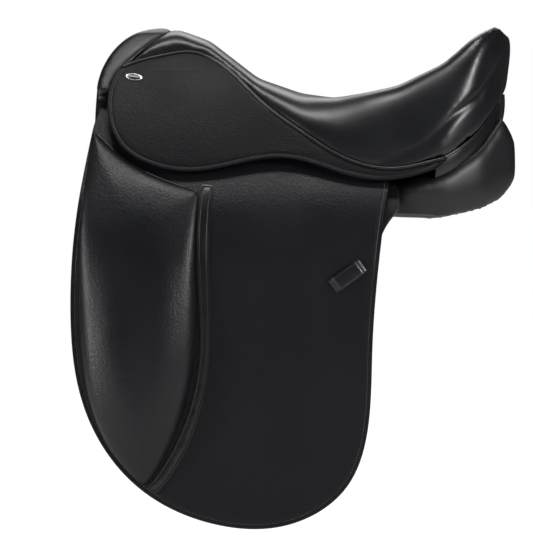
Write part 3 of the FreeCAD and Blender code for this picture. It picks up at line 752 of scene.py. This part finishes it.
# %% Block band
band_outline, band_outer = sheet_shape("block_binding_right")
band_outline = rounded(resampled(band_outline, 2 * mm), 2)
seam_levels = np.linspace(band_outline[:, 1].min() + 2 * mm, band_outline[:, 1].max() - 2 * mm, 40)
seam_middles = np.sort([(z, np.mean(column_span(band_outline, z, 1))) for z in seam_levels], axis=0)
block_side = band_outline[:, 0] < np.interp(band_outline[:, 1], *seam_middles.T)
band_outline[block_side, 0] -= 4 * mm
band_surface = Surface(band_outer)
band = leather_sheet("block_band", band_outline, band_surface, 1.9 * mm,
                     (0.8 * mm, 1.8 * mm, 2.6 * mm, 3.4 * mm), (0.1 * mm, 0.25 * mm, -0.1 * mm, 0.2 * mm),
                     12 * mm, wave=0, round_by=0.6 * mm)
band_low, band_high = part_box("block_binding_right")
band_rows = []
for share in (0.24, 0.76):
    row = []
    for z in np.arange(band_high.z - 8 * mm, band_low.z + 12 * mm, -3 * mm):
        span = column_span(band_outline, z, 1)
        if span:
            row.append((span[0] + share * (span[1] - span[0]), z))
    places, normals = on_surface(row, band_surface, -0.05 * mm)
    band_rows.append(stitch_row("band_stitches", places, normals))
print("block:", len(block.data.vertices), "vertices, band rows:", len(band_rows))

# %% [markdown]
# ## Keeper
# A short strap bridges the flap to hold the stirrup leather's end.
# It starts as a cube cut into slices, is bowed between its feet, and its edges are rolled.

# %% Keeper
keeper_points = node_points("keeper_right")
keeper_middle = keeper_points[:, [0, 2]].mean(axis=0)
flat_keeper = keeper_points[:, [0, 2]] - keeper_middle
_, _, keeper_axes = np.linalg.svd(flat_keeper, full_matrices=False)
keeper_long, keeper_short = turned(keeper_axes[0], 0), turned(keeper_axes[1], 1)
keeper_length = np.ptp(flat_keeper @ keeper_long)
keeper_width = np.ptp(flat_keeper @ keeper_short)
keeper_low, keeper_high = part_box("keeper_right")
keeper_rise = keeper_high.y - keeper_low.y - 3.6 * mm
foot_share = 0.34      # share of each half of the strap that rises from its foot
corner_power = 0.35    # how square the corners of the stitched loop are


def keeper_place(u, v, height):
    """Places on the bowed strap, for shares of its half length and half width and a height."""
    bow = np.clip((1 - np.abs(u)) / foot_share, 0, 1)
    bow = bow * bow * (3 - 2 * bow)
    flat = (keeper_middle + (u * keeper_length / 2)[:, None] * keeper_long
            + (v * keeper_width / 2)[:, None] * keeper_short)
    rise = keeper_low.y + height + keeper_rise * bow + 0.5 * mm * (1 - v ** 2) * bow
    return flat, rise


bpy.ops.mesh.primitive_cube_add(size=1)
keeper = named(bpy.context.view_layer.objects.active, "keeper")
keeper.dimensions = (keeper_length, keeper_width, 2.6 * mm)
bpy.ops.object.transform_apply(location=False, rotation=False, scale=True)
slices = [((u * keeper_length, 0, 0), (1, 0, 0)) for u in np.linspace(-0.5, 0.5, 25)[1:-1]]
slices += [((0, v * keeper_width, 0), (0, 1, 0)) for v in np.linspace(-0.5, 0.5, 9)[1:-1]]
edit_all(keeper, lambda: cut_cells(slices))
co = points_of(keeper)
u, v = co[:, 0] / (keeper_length / 2), co[:, 1] / (keeper_width / 2)
narrow = 1 - 0.10 * np.clip(np.abs(u) - 0.62, 0, 1) / 0.38
flat, _ = keeper_place(u, v * narrow, 0)
_, rise = keeper_place(u, v, 1.45 * mm + co[:, 2])
set_points(keeper, np.column_stack([flat[:, 0], rise, flat[:, 1]]))
round_edges(keeper, 0.8 * mm)
keeper = edit_all(smooth(apply_modifiers(keeper)), face_outward)

turn = np.linspace(0, 2 * math.pi, 120, endpoint=False)
loop_u, loop_v = (reach * np.sign(wave) * np.abs(wave) ** corner_power
                  for reach, wave in ((0.93, np.cos(turn)), (0.78, np.sin(turn))))
flat, rise = keeper_place(loop_u, loop_v, 2.75 * mm)
loop = np.column_stack([flat[:, 0], rise, flat[:, 1]])
keeper_stitches = stitch_row("keeper_stitches", loop, np.tile((0.0, 1.0, 0.0), (len(loop), 1)),
                             pitch=2.8 * mm, length=2.1 * mm, width=0.7 * mm, height=0.6 * mm, closed=True)
print("keeper:", round(keeper_length / mm, 1), "x", round(keeper_width / mm, 1), "mm")

# %% [markdown]
# ## Badge
# A small oval plate on the skirt: a silver rim round a dark, blank middle. It carries no mark.

# %% Badge
badge_points = node_points("badge_right")
badge_centre = badge_points.mean(axis=0)
_, _, (badge_long, badge_short, badge_out) = np.linalg.svd(badge_points - badge_centre, full_matrices=False)
badge_out = turned(badge_out, 1)
badge_half = [np.ptp((badge_points - badge_centre) @ axis) / 2
              for axis in (badge_long, badge_short, badge_out)]


def badge_disc(name, share, base, top):
    """A low oval disc, its rim rounded, between two heights from the badge's middle plane."""
    bpy.ops.mesh.primitive_cylinder_add(vertices=72, radius=1, depth=1)
    disc = named(bpy.context.view_layer.objects.active, name)
    co = points_of(disc)
    height = np.where(co[:, 2] > 0, top, base)
    half_width = badge_half[1] - (1 - share) * badge_half[0]
    set_points(disc, badge_centre + co[:, :1] * badge_half[0] * share * badge_long
               + co[:, 1:2] * half_width * badge_short + height[:, None] * badge_out)
    round_edges(disc, 0.35 * mm)
    return smooth(edit_all(apply_modifiers(disc), face_outward))


badge_rim = badge_disc("badge", 1.0, -badge_half[2], badge_half[2] - 0.25 * mm)
badge_middle = badge_disc("badge_middle", 0.86, 0, badge_half[2])
print("badge:", round(2 * badge_half[0] / mm, 1), "x", round(2 * badge_half[1] / mm, 1), "mm")

# %% [markdown]
# ## Facing at the cantle
# A firm leather band closes the rear between seat and panels. Looking in from outside at many
# angles gives its lower and upper edge, and a grid is laid between them and given thickness.

# %% Cantle facing
seat_middle_x = 60 * mm
look_from = 300 * mm   # distance outside the seat's middle that each look starts at
near_limit = 60 * mm   # a place closer to the middle than this isn't the outer wall


def outward_at(degrees):
    return Vector((math.cos(math.radians(degrees)), math.sin(math.radians(degrees)), 0))


def seen_from_outside(node, degrees, heights):
    """Where a level line from outside first meets a CAD node, for each height that it does."""
    outward = outward_at(degrees)
    found = []
    for z in heights:
        middle = Vector((seat_middle_x, 0, z))
        hit, place, _, _ = nodes[node].ray_cast(middle + outward * look_from, -outward)
        if hit and (place - middle).dot(outward) > near_limit:
            found.append(place.copy())
    return found


facing_low, facing_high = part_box("cantle_facing")
levels = np.arange(facing_low.z, facing_high.z, 1 * mm)
facing_edges = []
for degrees in np.arange(-68, 68.1, 4):
    column = seen_from_outside("cantle_facing", degrees, levels)
    if len(column) > 2:
        facing_edges.append((degrees, column[0], column[-1]))
bpy.ops.mesh.primitive_grid_add(x_subdivisions=len(facing_edges) - 1, y_subdivisions=7, size=1)
facing = named(bpy.context.view_layer.objects.active, "cantle_band")
co = points_of(facing)
columns = np.round((co[:, 0] + 0.5) * (len(facing_edges) - 1)).astype(int)
for i, column in enumerate(columns):
    degrees, low, high = facing_edges[column]
    share = co[i, 1] + 0.5
    crown = 1.6 * mm * math.sin(math.pi * share) - 0.3 * mm
    place = low.lerp(high, share) + outward_at(degrees) * crown
    place.z += (share - 0.5) * 7 * mm
    co[i] = place
set_points(facing, co)
modify(facing, "thickness", "SOLIDIFY", thickness=3.4 * mm, offset=0)
modify(facing, "edge", "BEVEL", width=0.9 * mm, segments=2, limit_method="ANGLE")
modify(facing, "dense", "SUBSURF", levels=1)
facing = smooth(apply_modifiers(facing), 50)
print("facing:", len(facing.data.vertices), "vertices,", len(facing_edges), "columns")

# %% [markdown]
# ## Welts
# Piping closes the seam between seat and skirt, and another runs round the cantle.
# The first follows the middle of the CAD welt. The second follows the seat's lower edge,
# found by looking in from outside at rising heights.

# %% Welts
welt_line = []
welt_low, welt_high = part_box("seat_welt_right")
for x in np.linspace(welt_low.x + 1.5 * mm, welt_high.x - 1.0 * mm, 150):
    span = column_span(welt_outline, x, 0)
    welt_line.append((x, 0.5 * (span[0] + span[1])))
welt_line = np.array(welt_line)
welt_places, _ = on_surface(resampled(welt_line, 3 * mm, closed=False), skirt_surface, 0.4 * mm)
welt = piping("seat_piping", welt_places, 1.9 * mm)

cover_levels = np.arange(20 * mm, 190 * mm, 0.8 * mm)
cantle_line = []
for degrees in np.arange(-64, 64.1, 4):
    column = seen_from_outside("seat_cover", degrees, cover_levels)
    if column:
        cantle_line.append(tuple(column[0]))
cantle_line = eased(np.array(cantle_line), 3)
cantle_welt = piping("cantle_piping", resampled(cantle_line, 3 * mm, closed=False), 2.0 * mm)
print("cantle edge: from", cantle_line[0].round(3), "to", cantle_line[-1].round(3))

# %% [markdown]
# ## Seat
# The seat is foam under one drawn cover, so it has no flat facets and no sharp rims.
# The CAD cover and foam are merged into one skin by a voxel remesh, then relaxed.
# Relaxing pulls the skin in a little, so it is pushed back out along its normals.

# %% Skin helpers
def seat_block():
    """The cover filled with foam, and with foam again lower down, so that the skin has one outside."""
    block_parts = [joined_copy("seat_block", "seat_cover", "seat_foam")]
    block_parts += [shifted_copy("seat_foam", (0, 0, -drop * mm)) for drop in (14, 28, 42)]
    for drop in (4, 8):
        tuck = joined_copy("seat_tuck", "seat_cover")
        co = points_of(tuck)
        co[:, 2] -= drop * mm * ramp(-co[:, 0], -150 * mm, 60 * mm)
        co[:, 1] -= np.sign(co[:, 1]) * 0.5 * drop * mm
        set_points(tuck, co)
        block_parts.append(tuck)
    return one_piece(*block_parts)


def outer_shell(obj):
    """Drops the closed voids inside a skin, which are shells of their own."""
    top = int(points_of(obj)[:, 2].argmax())
    select_none(obj, "VERT")
    bpy.ops.object.mode_set(mode="OBJECT")
    obj.data.vertices[top].select = True
    bpy.ops.object.mode_set(mode="EDIT")
    bpy.ops.mesh.select_linked()
    bpy.ops.mesh.select_all(action="INVERT")
    bpy.ops.mesh.delete(type="VERT")
    bpy.ops.object.mode_set(mode="OBJECT")
    return obj


def skinned(obj, voxel, relax, swell, settle=5):
    """Voxel skin round closed solids, relaxed and pushed out again."""
    modify(obj, "skin", "REMESH", mode="VOXEL", voxel_size=voxel)
    modify(obj, "relax", "SMOOTH", factor=0.5, iterations=relax)
    modify(obj, "swell", "DISPLACE", mid_level=0, strength=swell)
    modify(obj, "settle", "SMOOTH", iterations=settle)
    return outer_shell(apply_modifiers(obj))


# %% [markdown]
# The cantle's middle is raised a little and its back is drawn in at the waist.
# Its rim is then eased and filled out, so that it reads as a padded roll.

# %% Seat form
cantle_rise = 6 * mm       # at the cantle's middle, from which the whole top is let down
cantle_drop = 3 * mm
rise_width = 45 * mm
seat = skinned(seat_block(), 3.5 * mm, 24, 0.7 * mm)
co = points_of(seat)
at_cantle = ramp(co[:, 0], 140 * mm, 50 * mm)
at_top = ramp(co[:, 2], 120 * mm, 50 * mm)
co[:, 2] += at_cantle * at_top * (cantle_rise * np.exp(-(co[:, 1] / rise_width) ** 2) - cantle_drop)
waist = np.interp(co[:, 2], np.array((100, 120, 140, 170)) * mm, np.array((1, 5, 4, 0)) * mm)
co[:, 0] -= ramp(co[:, 0], 160 * mm, 40 * mm) * waist
set_points(seat, co)
roll = seat.vertex_groups.new(name="cantle roll")
for i, weight in enumerate(ramp(co[:, 0], 60 * mm, 70 * mm)):
    roll.add([i], float(weight), "REPLACE")
modify(seat, "ease", "SMOOTH", vertex_group="cantle roll", iterations=40)
modify(seat, "fill", "DISPLACE", vertex_group="cantle roll", mid_level=0, strength=2.2 * mm)
apply_modifiers(seat)
print("seat form:", len(seat.data.vertices), "vertices")

# %% [markdown]
# The seat's foot follows the welt and then the cantle's edge. A channel is drawn in above it,
# below the roll that climbs round the rear, as the seat's seam pulls it.

# %% Seat channel
off_half = cantle_line[cantle_line[:, 1] >= 0][::-1]
edge_x = np.concatenate([welt_line[:, 0], off_half[:, 0]])
edge_z = np.concatenate([welt_line[:, 1], off_half[:, 2]])
foot_x = np.arange(edge_x.min(), edge_x.max(), 4 * mm)
foot_z = eased(np.array([edge_z[np.abs(edge_x - x) < 12 * mm].mean() for x in foot_x]), 20)
roll_x = np.array((20, 76, 134, 172, 192, 200)) * mm
roll_rise = np.array((0, 22, 32, 36, 52, 60)) * mm
channel_depth = 2.6 * mm
channel_width = 7 * mm
below_roll = 5 * mm        # from the roll's line down to the channel's middle
co = points_of(seat)
outward = np.array([tuple(v.normal) for v in seat.data.vertices])
above = co[:, 2] - np.interp(co[:, 0], foot_x, foot_z) - np.interp(co[:, 0], roll_x, roll_rise)
channel = np.exp(-((above + below_roll) / channel_width) ** 2)
starts = ramp(co[:, 0], 20 * mm, 50 * mm)
ends = ramp(-co[:, 0], -204 * mm, 30 * mm)
pinch = channel_depth * channel * starts * ends
set_points(seat, co - outward * pinch[:, None])
print("seat channel:", round(pinch.max() / mm, 1), "mm deep")

# %% [markdown]
# The underside is opened again, and the skin gets the thickness of the hide.
# Only faces near the foot or under the middle are taken, because the cantle's wall leans out too.

# %% Seat hide
select_none(seat, "FACE")
bpy.ops.object.mode_set(mode="OBJECT")
for polygon in seat.data.polygons:
    x, y, z = polygon.center
    by_foot = z < np.interp(x, foot_x, foot_z) + 7 * mm
    under_middle = abs(y) < 60 * mm and x < 130 * mm
    polygon.select = polygon.normal.z < -0.45 and (by_foot or under_middle)
bpy.ops.object.mode_set(mode="EDIT")
bpy.ops.mesh.delete(type="FACE")
bpy.ops.object.mode_set(mode="OBJECT")
modify(seat, "hide", "SOLIDIFY", thickness=2.2 * mm, offset=-1)
modify(seat, "dense", "SUBSURF", levels=1)
seat = smooth(apply_modifiers(seat), 180)
print("seat:", len(seat.data.vertices), "vertices")

# %% [markdown]
# ## Head roll
# A padded inverted U closes the front under the pommel. It is skinned like the seat,
# with two copies pushed back and down so that it meets the seat.

# %% Head roll
roll_parts = [joined_copy("head_roll_pad", "head_roll")]
roll_parts += [shifted_copy("head_roll", (push * mm, 0, -0.5 * push * mm)) for push in (3, 6)]
head_roll = smooth(skinned(one_piece(*roll_parts), 3.0 * mm, 9, 0.9 * mm), 180)
print("head roll:", len(head_roll.data.vertices), "vertices")

# %% [markdown]
# ## Panels
# Each panel is a wool-stuffed cushion. Its CAD body is skinned like the seat, relaxed long,
# and pushed out by 2.4 mm, so that it looks stuffed.

# %% Panels
panel = smooth(skinned(joined_copy("panel_pad", "panel_right"), 4 * mm, 34, 2.4 * mm, settle=16), 180)
print("panel:", len(panel.data.vertices), "vertices")

# %% [markdown]
# ## Sweat flap
# The inner flap lies against the horse. It is one plain sheet with a stitched edge.

# %% Sweat flap
sweat_outline, sweat_outer = sheet_shape("sweat_flap_right")
sweat_outline = rounded(resampled(sweat_outline, 5 * mm), 2)
sweat_surface = Surface(sweat_outer)
sweat_thickness = 3.4 * mm
sweat = leather_sheet("sweat", sweat_outline, sweat_surface, sweat_thickness,
                      (1.2 * mm, 3 * mm, 6 * mm, 14 * mm), (-0.1 * mm, 0, 0, 0), 20 * mm,
                      wave=0, round_by=1.0 * mm)
sweat_line = seam_line(sweat_outline, 3 * mm, 5 * mm)
sweat_line = opened_at_gap(sweat_line[sweat_line[:, 1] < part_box("sweat_flap_right")[1].z - 30 * mm])
sweat_places, sweat_normals = on_surface(sweat_line, sweat_surface, -sweat_thickness)
sweat_stitches = stitch_row("sweat_stitches", sweat_places, -sweat_normals, pitch=4 * mm, length=3.2 * mm)
print("sweat flap:", len(sweat.data.vertices), "vertices")

# %% [markdown]
# ## Materials
# Black leather reflects more than it shows colour: a near-black base, a broad sheen and a grain.
# Grain is built from cells for the pebbles and fine noise for the pores, in millimetres.
# Every pattern reads the object's own coordinates, so it keeps its size on every piece.

# %% Material helpers
def linear(hex_colour):
    """Linear RGB of an sRGB hex colour."""
    parts = [int(hex_colour[i:i + 2], 16) / 255 for i in (0, 2, 4)]
    return tuple(c / 12.92 if c <= 0.04045 else ((c + 0.055) / 1.055) ** 2.4 for c in parts)


def add_node(material, kind, links=None, **settings):
    """Adds a node, sets its properties and inputs, and links its inputs."""
    node = material.node_tree.nodes.new(kind)
    for key, value in settings.items():
        if key.startswith("in_"):
            node.inputs[key[3:].replace("_", " ")].default_value = value
        else:
            setattr(node, key, value)
    for socket, source in (links or {}).items():
        material.node_tree.links.new(source, node.inputs[socket])
    return node


def surface_material(name, colour, roughness, metallic=0.0, specular=0.5):
    """A plain finish, and its shader."""
    material = bpy.data.materials.new(name)
    material.use_nodes = True
    shader = material.node_tree.nodes["Principled BSDF"]
    shader.inputs["Base Color"].default_value = (*linear(colour), 1)
    shader.inputs["Roughness"].default_value = roughness
    shader.inputs["Metallic"].default_value = metallic
    shader.inputs["Specular IOR Level"].default_value = specular
    return material, shader


def leather_material(name, colour, roughness, pebble_mm, depth, crease_mm=9.0, vary=0.06, coat=0.0,
                     specular=0.5):
    """Finished cowhide: pebbled grain, pores, and slow changes of gloss."""
    material, shader = surface_material(name, colour, roughness, specular=specular)
    place = add_node(material, "ShaderNodeTexCoord").outputs["Object"]

    def pattern(kind, size_mm, **settings):
        return add_node(material, kind, {"Vector": place}, in_Scale=1 / (size_mm * mm), **settings)

    pebbles = pattern("ShaderNodeTexVoronoi", pebble_mm, in_Randomness=1.0, feature="SMOOTH_F1")
    pores = pattern("ShaderNodeTexNoise", 0.45 * pebble_mm, in_Detail=4.0, in_Roughness=0.6)
    creases = pattern("ShaderNodeTexNoise", crease_mm, in_Detail=3.0, in_Distortion=0.6)
    wear = pattern("ShaderNodeTexNoise", 70, in_Detail=5.0)
    grain = add_node(material, "ShaderNodeMath", {0: pebbles.outputs["Distance"], 1: pores.outputs["Fac"]},
                     operation="ADD")
    slow = add_node(material, "ShaderNodeMath", {0: creases.outputs["Fac"]}, operation="MULTIPLY")
    slow.inputs[1].default_value = 0.35
    height = add_node(material, "ShaderNodeMath", {0: grain.outputs["Value"], 1: slow.outputs["Value"]},
                      operation="ADD")
    bump = add_node(material, "ShaderNodeBump", {"Height": height.outputs["Value"]}, in_Strength=depth,
                    in_Distance=0.35 * mm)
    gloss = add_node(material, "ShaderNodeMapRange", {"Value": wear.outputs["Fac"]}, in_From_Min=0.3,
                     in_From_Max=0.7, in_To_Min=roughness - vary, in_To_Max=roughness + vary)
    links = material.node_tree.links
    links.new(bump.outputs["Normal"], shader.inputs["Normal"])
    links.new(gloss.outputs["Result"], shader.inputs["Roughness"])
    shader.inputs["Coat Weight"].default_value = coat
    shader.inputs["Coat Roughness"].default_value = 0.28
    return material


def fine_material(name, colour, roughness, metallic, scale_mm, depth, stretch=(1, 1, 1)):
    """Wood, steel, webbing and foam: a plain surface with a fine, possibly drawn-out noise."""
    material, shader = surface_material(name, colour, roughness, metallic)
    place = add_node(material, "ShaderNodeTexCoord").outputs["Object"]
    drawn = add_node(material, "ShaderNodeMapping", {"Vector": place}, in_Scale=stretch)
    noise = add_node(material, "ShaderNodeTexNoise", {"Vector": drawn.outputs["Vector"]},
                     in_Scale=1 / (scale_mm * mm), in_Detail=4.0)
    bump = add_node(material, "ShaderNodeBump", {"Height": noise.outputs["Fac"]}, in_Strength=depth,
                    in_Distance=0.2 * mm)
    material.node_tree.links.new(bump.outputs["Normal"], shader.inputs["Normal"])
    return material


# %% [markdown]
# One material for each real finish, from the pebbled flap hide to the brushed steel. The skirt's hide is the
# flap's cowhide with painted shade: its colour is darker so that the up-facing skirt stays as dark as the
# flap under the overhead box.

# %% Materials
grained = leather_material("pebbled black cowhide, drum dyed", "131418", 0.42, 2.4, 0.8, specular=0.32)
block_hide = leather_material("pebbled black cowhide, stretched", "131418", 0.38, 3.0, 0.7, specular=0.45)
seat_hide = leather_material("smooth black calf, waxed", "17181B", 0.34, 1.1, 0.16, crease_mm=6.0, coat=0.15)
# Skirt hide: its roughness and low specular make it matt. Its base colour, darker than the flap's 131418, is
# painted shade.
skirt_hide_painted_shade = leather_material("pebbled black cowhide, matt, painted shade", "0E0F12", 0.48, 2.4, 0.8, specular=0.22)
lining_hide = leather_material("soft black panel hide", "111215", 0.42, 1.3, 0.22, crease_mm=7.0, coat=0.05)
binding_hide = leather_material("black binding leather, burnished", "141518", 0.3, 1.0, 0.12, coat=0.2)
edge_paint, _ = surface_material("burnished cut edge, black", "101114", 0.22)
thread, _ = surface_material("bonded polyester thread, black", "3A3B40", 0.4)
piping_hide = leather_material("black piping leather, burnished", "141518", 0.28, 1.0, 0.1, coat=0.25)
wood = fine_material("laminated beech, varnished", "8A6238", 0.5, 0.0, 2.0, 0.25, (0.1, 1, 1))
steel = fine_material("spring steel, blued", "55585C", 0.38, 1.0, 0.6, 0.1)
bar_steel = fine_material("forged stirrup bar steel, polished", "9A9C9E", 0.3, 1.0, 0.8, 0.08)
webbing = fine_material("woven girth webbing, black", "1D1D1F", 0.85, 0.0, 0.9, 0.6)
foam = fine_material("moulded seat foam, grey", "6A6A68", 0.95, 0.0, 1.2, 0.5)
chrome, _ = surface_material("chromed zinc, polished", "D8DADC", 0.12, 1.0)
brass = fine_material("turned brass", "B08D4A", 0.3, 1.0, 0.8, 0.08)
enamel, _ = surface_material("black enamel, fired", "0C0C0E", 0.18)
nickel, _ = surface_material("nickel silver, brushed", "C9CBCD", 0.24, 1.0)


def wear_finish(obj, *finishes):
    """Gives obj these materials and no other."""
    obj.data.materials.clear()
    for finish in finishes:
        obj.data.materials.append(finish)
    return obj


def with_thread(base, finish, rows, outline=None):
    """Joins rows of stitches into their piece, and burnishes the cut edge along its outline."""
    wear_finish(base, finish, edge_paint)
    if outline is not None:
        co = points_of(base)
        near = edge_distance(co[:, [0, 2]], outline) < 1.3 * mm
        for polygon in base.data.polygons:
            if all(near[v] for v in polygon.vertices):
                polygon.material_index = 1
    for row in rows:
        wear_finish(row, thread)
    return one_piece(base, *rows)


finish_of_slot = {"leather": grained, "smooth_leather": seat_hide, "lining_leather": lining_hide,
                  "wood": wood, "steel": steel, "bar_steel": bar_steel, "webbing": webbing, "foam": foam,
                  "chrome": chrome, "brass": brass}
slot_of_node = {part["node"]: part["material_slot"] for part in frame["record"]["subparts"]}
for node_name, node in nodes.items():
    wear_finish(node, finish_of_slot.get(slot_of_node.get(node_name, "leather"), grained))
print("CAD finishes:", sorted(set(slot_of_node.values())))

# %% [markdown]
# ## Fitting the pieces to the CAD model
# Each piece takes its finish, rides on a body or stays where it is, and hides the CAD part it stands for.
# Off-side pieces are mirrored first, so both sides are alike.

# %% Fit the side pieces
flap = with_thread(flap, grained, [flap_stitches], flap_outline)
skirt_upper = with_thread(skirt_upper, skirt_hide_painted_shade, upper_rows, skirt_outline)
skirt_lobe = with_thread(skirt_lobe, skirt_hide_painted_shade, lobe_rows, skirt_outline)
wear_finish(block, block_hide)
wear_finish(block_edge, binding_hide)
block = one_piece(block, block_edge)
band = with_thread(band, binding_hide, band_rows)
keeper = with_thread(keeper, binding_hide, [keeper_stitches])
wear_finish(badge_rim, nickel)
wear_finish(badge_middle, enamel)
badge = one_piece(badge_rim, badge_middle)
sweat = with_thread(sweat, lining_hide, [sweat_stitches])
wear_finish(welt, piping_hide)
wear_finish(panel, lining_hide)

bends = {"flap_sheet": (flap, "saddle", "flap", -2 * mm, bend_length, ("flap_head", "flap"), "leather"),
         "skirt_upper": (skirt_upper, "saddle", "flap", -2 * mm, skirt_cut - 1 * mm,
                         ("skirt_band",), "leather"),
         "skirt_lobe": (skirt_lobe, "flap", "skirt", skirt_cut + 1 * mm, skirt_cut + bend_length,
                        ("skirt",), "leather")}
rides = {"thigh_cushion": (block, "flap", ("thigh_block",), "leather"),
         "block_band": (band, "flap", ("block_binding",), "smooth_leather"),
         "keeper_strap": (keeper, "flap", ("keeper",), "smooth_leather"),
         "oval_badge": (badge, None, ("badge",), "chrome"),
         "inner_flap": (sweat, None, ("sweat_flap",), "lining_leather"),
         "seat_piping": (welt, None, ("seat_welt",), "smooth_leather"),
         "panel_cushion": (panel, None, ("panel",), "lining_leather")}
for label, (obj, first, second, start, end, hidden, slot) in bends.items():
    for side, piece in both_sides(obj, label).items():
        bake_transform(piece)
        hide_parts(*(h + "_" + side for h in hidden))
for label, (obj, body, hidden, slot) in rides.items():
    for side, piece in both_sides(obj, label).items():
        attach(piece, "saddle" if body is None else body + "_" + side)
        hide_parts(*(h + "_" + side for h in hidden))

# %% [markdown]
# The middle pieces ride on the saddle itself. Each one's fill says how full the pad is.

# %% Fit the middle pieces
middle = {"seat_skin": (seat, seat_hide, ("seat_cover",), "smooth_leather", 0.9),
          "head_cushion": (head_roll, lining_hide, ("head_roll",), "smooth_leather", 0.8),
          "cantle_band": (facing, seat_hide, ("cantle_facing",), "smooth_leather", None),
          "cantle_piping": (cantle_welt, piping_hide, (), "smooth_leather", None)}
for label, (obj, finish, hidden, slot, fill) in middle.items():
    wear_finish(named(obj, label), finish)
    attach(obj, "saddle")
    if hidden:
        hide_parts(*hidden)
print("pieces:", len(bends) * 2 + len(rides) * 2 + len(middle))

# %% [markdown]
# ## Studio
# A pale floor just under the flaps and a white surround stand behind the saddle.
# Leather needs something bright to mirror and something dark beside it, so the surround only
# looks white: it lights the saddle dimly, and soft boxes draw the highlights.

# %% Floor and surround
low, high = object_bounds()
bpy.ops.mesh.primitive_plane_add(size=12, location=(0, 0, low[2] - 12 * mm))
floor = bpy.context.view_layer.objects.active
floor.name = "studio_floor"
pale, pale_shader = surface_material("pale paper floor", "FFFFFF", 0.9)
ray = add_node(pale, "ShaderNodeLightPath")
glow = add_node(pale, "ShaderNodeEmission", in_Strength=1.2)
share = add_node(pale, "ShaderNodeMath", {0: ray.outputs["Is Camera Ray"]}, operation="MULTIPLY")
share.inputs[1].default_value = 0.9
mixed = add_node(pale, "ShaderNodeMixShader", {0: share.outputs["Value"], 1: pale_shader.outputs["BSDF"],
                                               2: glow.outputs["Emission"]})
surface = pale.node_tree.nodes["Material Output"].inputs["Surface"]
pale.node_tree.links.new(mixed.outputs["Shader"], surface)
wear_finish(floor, pale)

world = bpy.data.worlds.new("white surround")
bpy.context.scene.world = world
world.use_nodes = True
backdrop = world.node_tree.nodes["Background"]
ray = add_node(world, "ShaderNodeLightPath")
level = add_node(world, "ShaderNodeMapRange", {"Value": ray.outputs["Is Camera Ray"]},
                 in_To_Min=0.03, in_To_Max=1.0)
world.node_tree.links.new(level.outputs["Result"], backdrop.inputs["Strength"])
backdrop.inputs["Color"].default_value = (1, 1, 1, 1)
bpy.context.scene.view_settings.view_transform = "Standard"

# %% [markdown]
# Each soft box faces the saddle's middle. Narrow ones draw lines on the rolls, wide ones fill.

# %% Soft boxes
middle_of_saddle = Vector([(a + b) / 2 for a, b in zip(low, high)])


def soft_box(name, place, width, height, power):
    lamp = bpy.data.lights.new(name, "AREA")
    lamp.shape = "RECTANGLE"
    lamp.size = width
    lamp.size_y = height
    lamp.energy = power
    obj = in_scene(bpy.data.objects.new(name, lamp))
    obj.location = place
    obj.rotation_euler = (middle_of_saddle - obj.location).to_track_quat("-Z", "Y").to_euler()


soft_box("overhead box", (-0.1, -0.5, 2.4), 1.3, 0.5, 24)
soft_box("left strip", (-2.2, -1.1, 0.3), 0.4, 1.5, 26)
soft_box("right box", (2.0, -1.5, 0.9), 0.5, 0.5, 30)
soft_box("front fill", (-0.3, -3.4, 0.9), 1.6, 1.2, 1.5)
soft_box("far side box", (0.2, 2.0, 1.8), 1.8, 1.2, 18)

# %% [markdown]
# ## Camera
# It looks level at the near side from 5 m away, so that the view is nearly flat.

# %% Camera
camera_data = bpy.data.cameras.new("camera")
camera = in_scene(bpy.data.objects.new("camera", camera_data))
bpy.context.scene.camera = camera
distance = 5.0
frame_height = 0.6741
camera_data.sensor_fit = "VERTICAL"
camera_data.sensor_height = 36
camera_data.lens = camera_data.sensor_height * distance / frame_height
camera_data.clip_end = 60
camera.location = (-0.0926, -distance, -0.0977)
camera.rotation_euler = (math.radians(90), 0, 0)
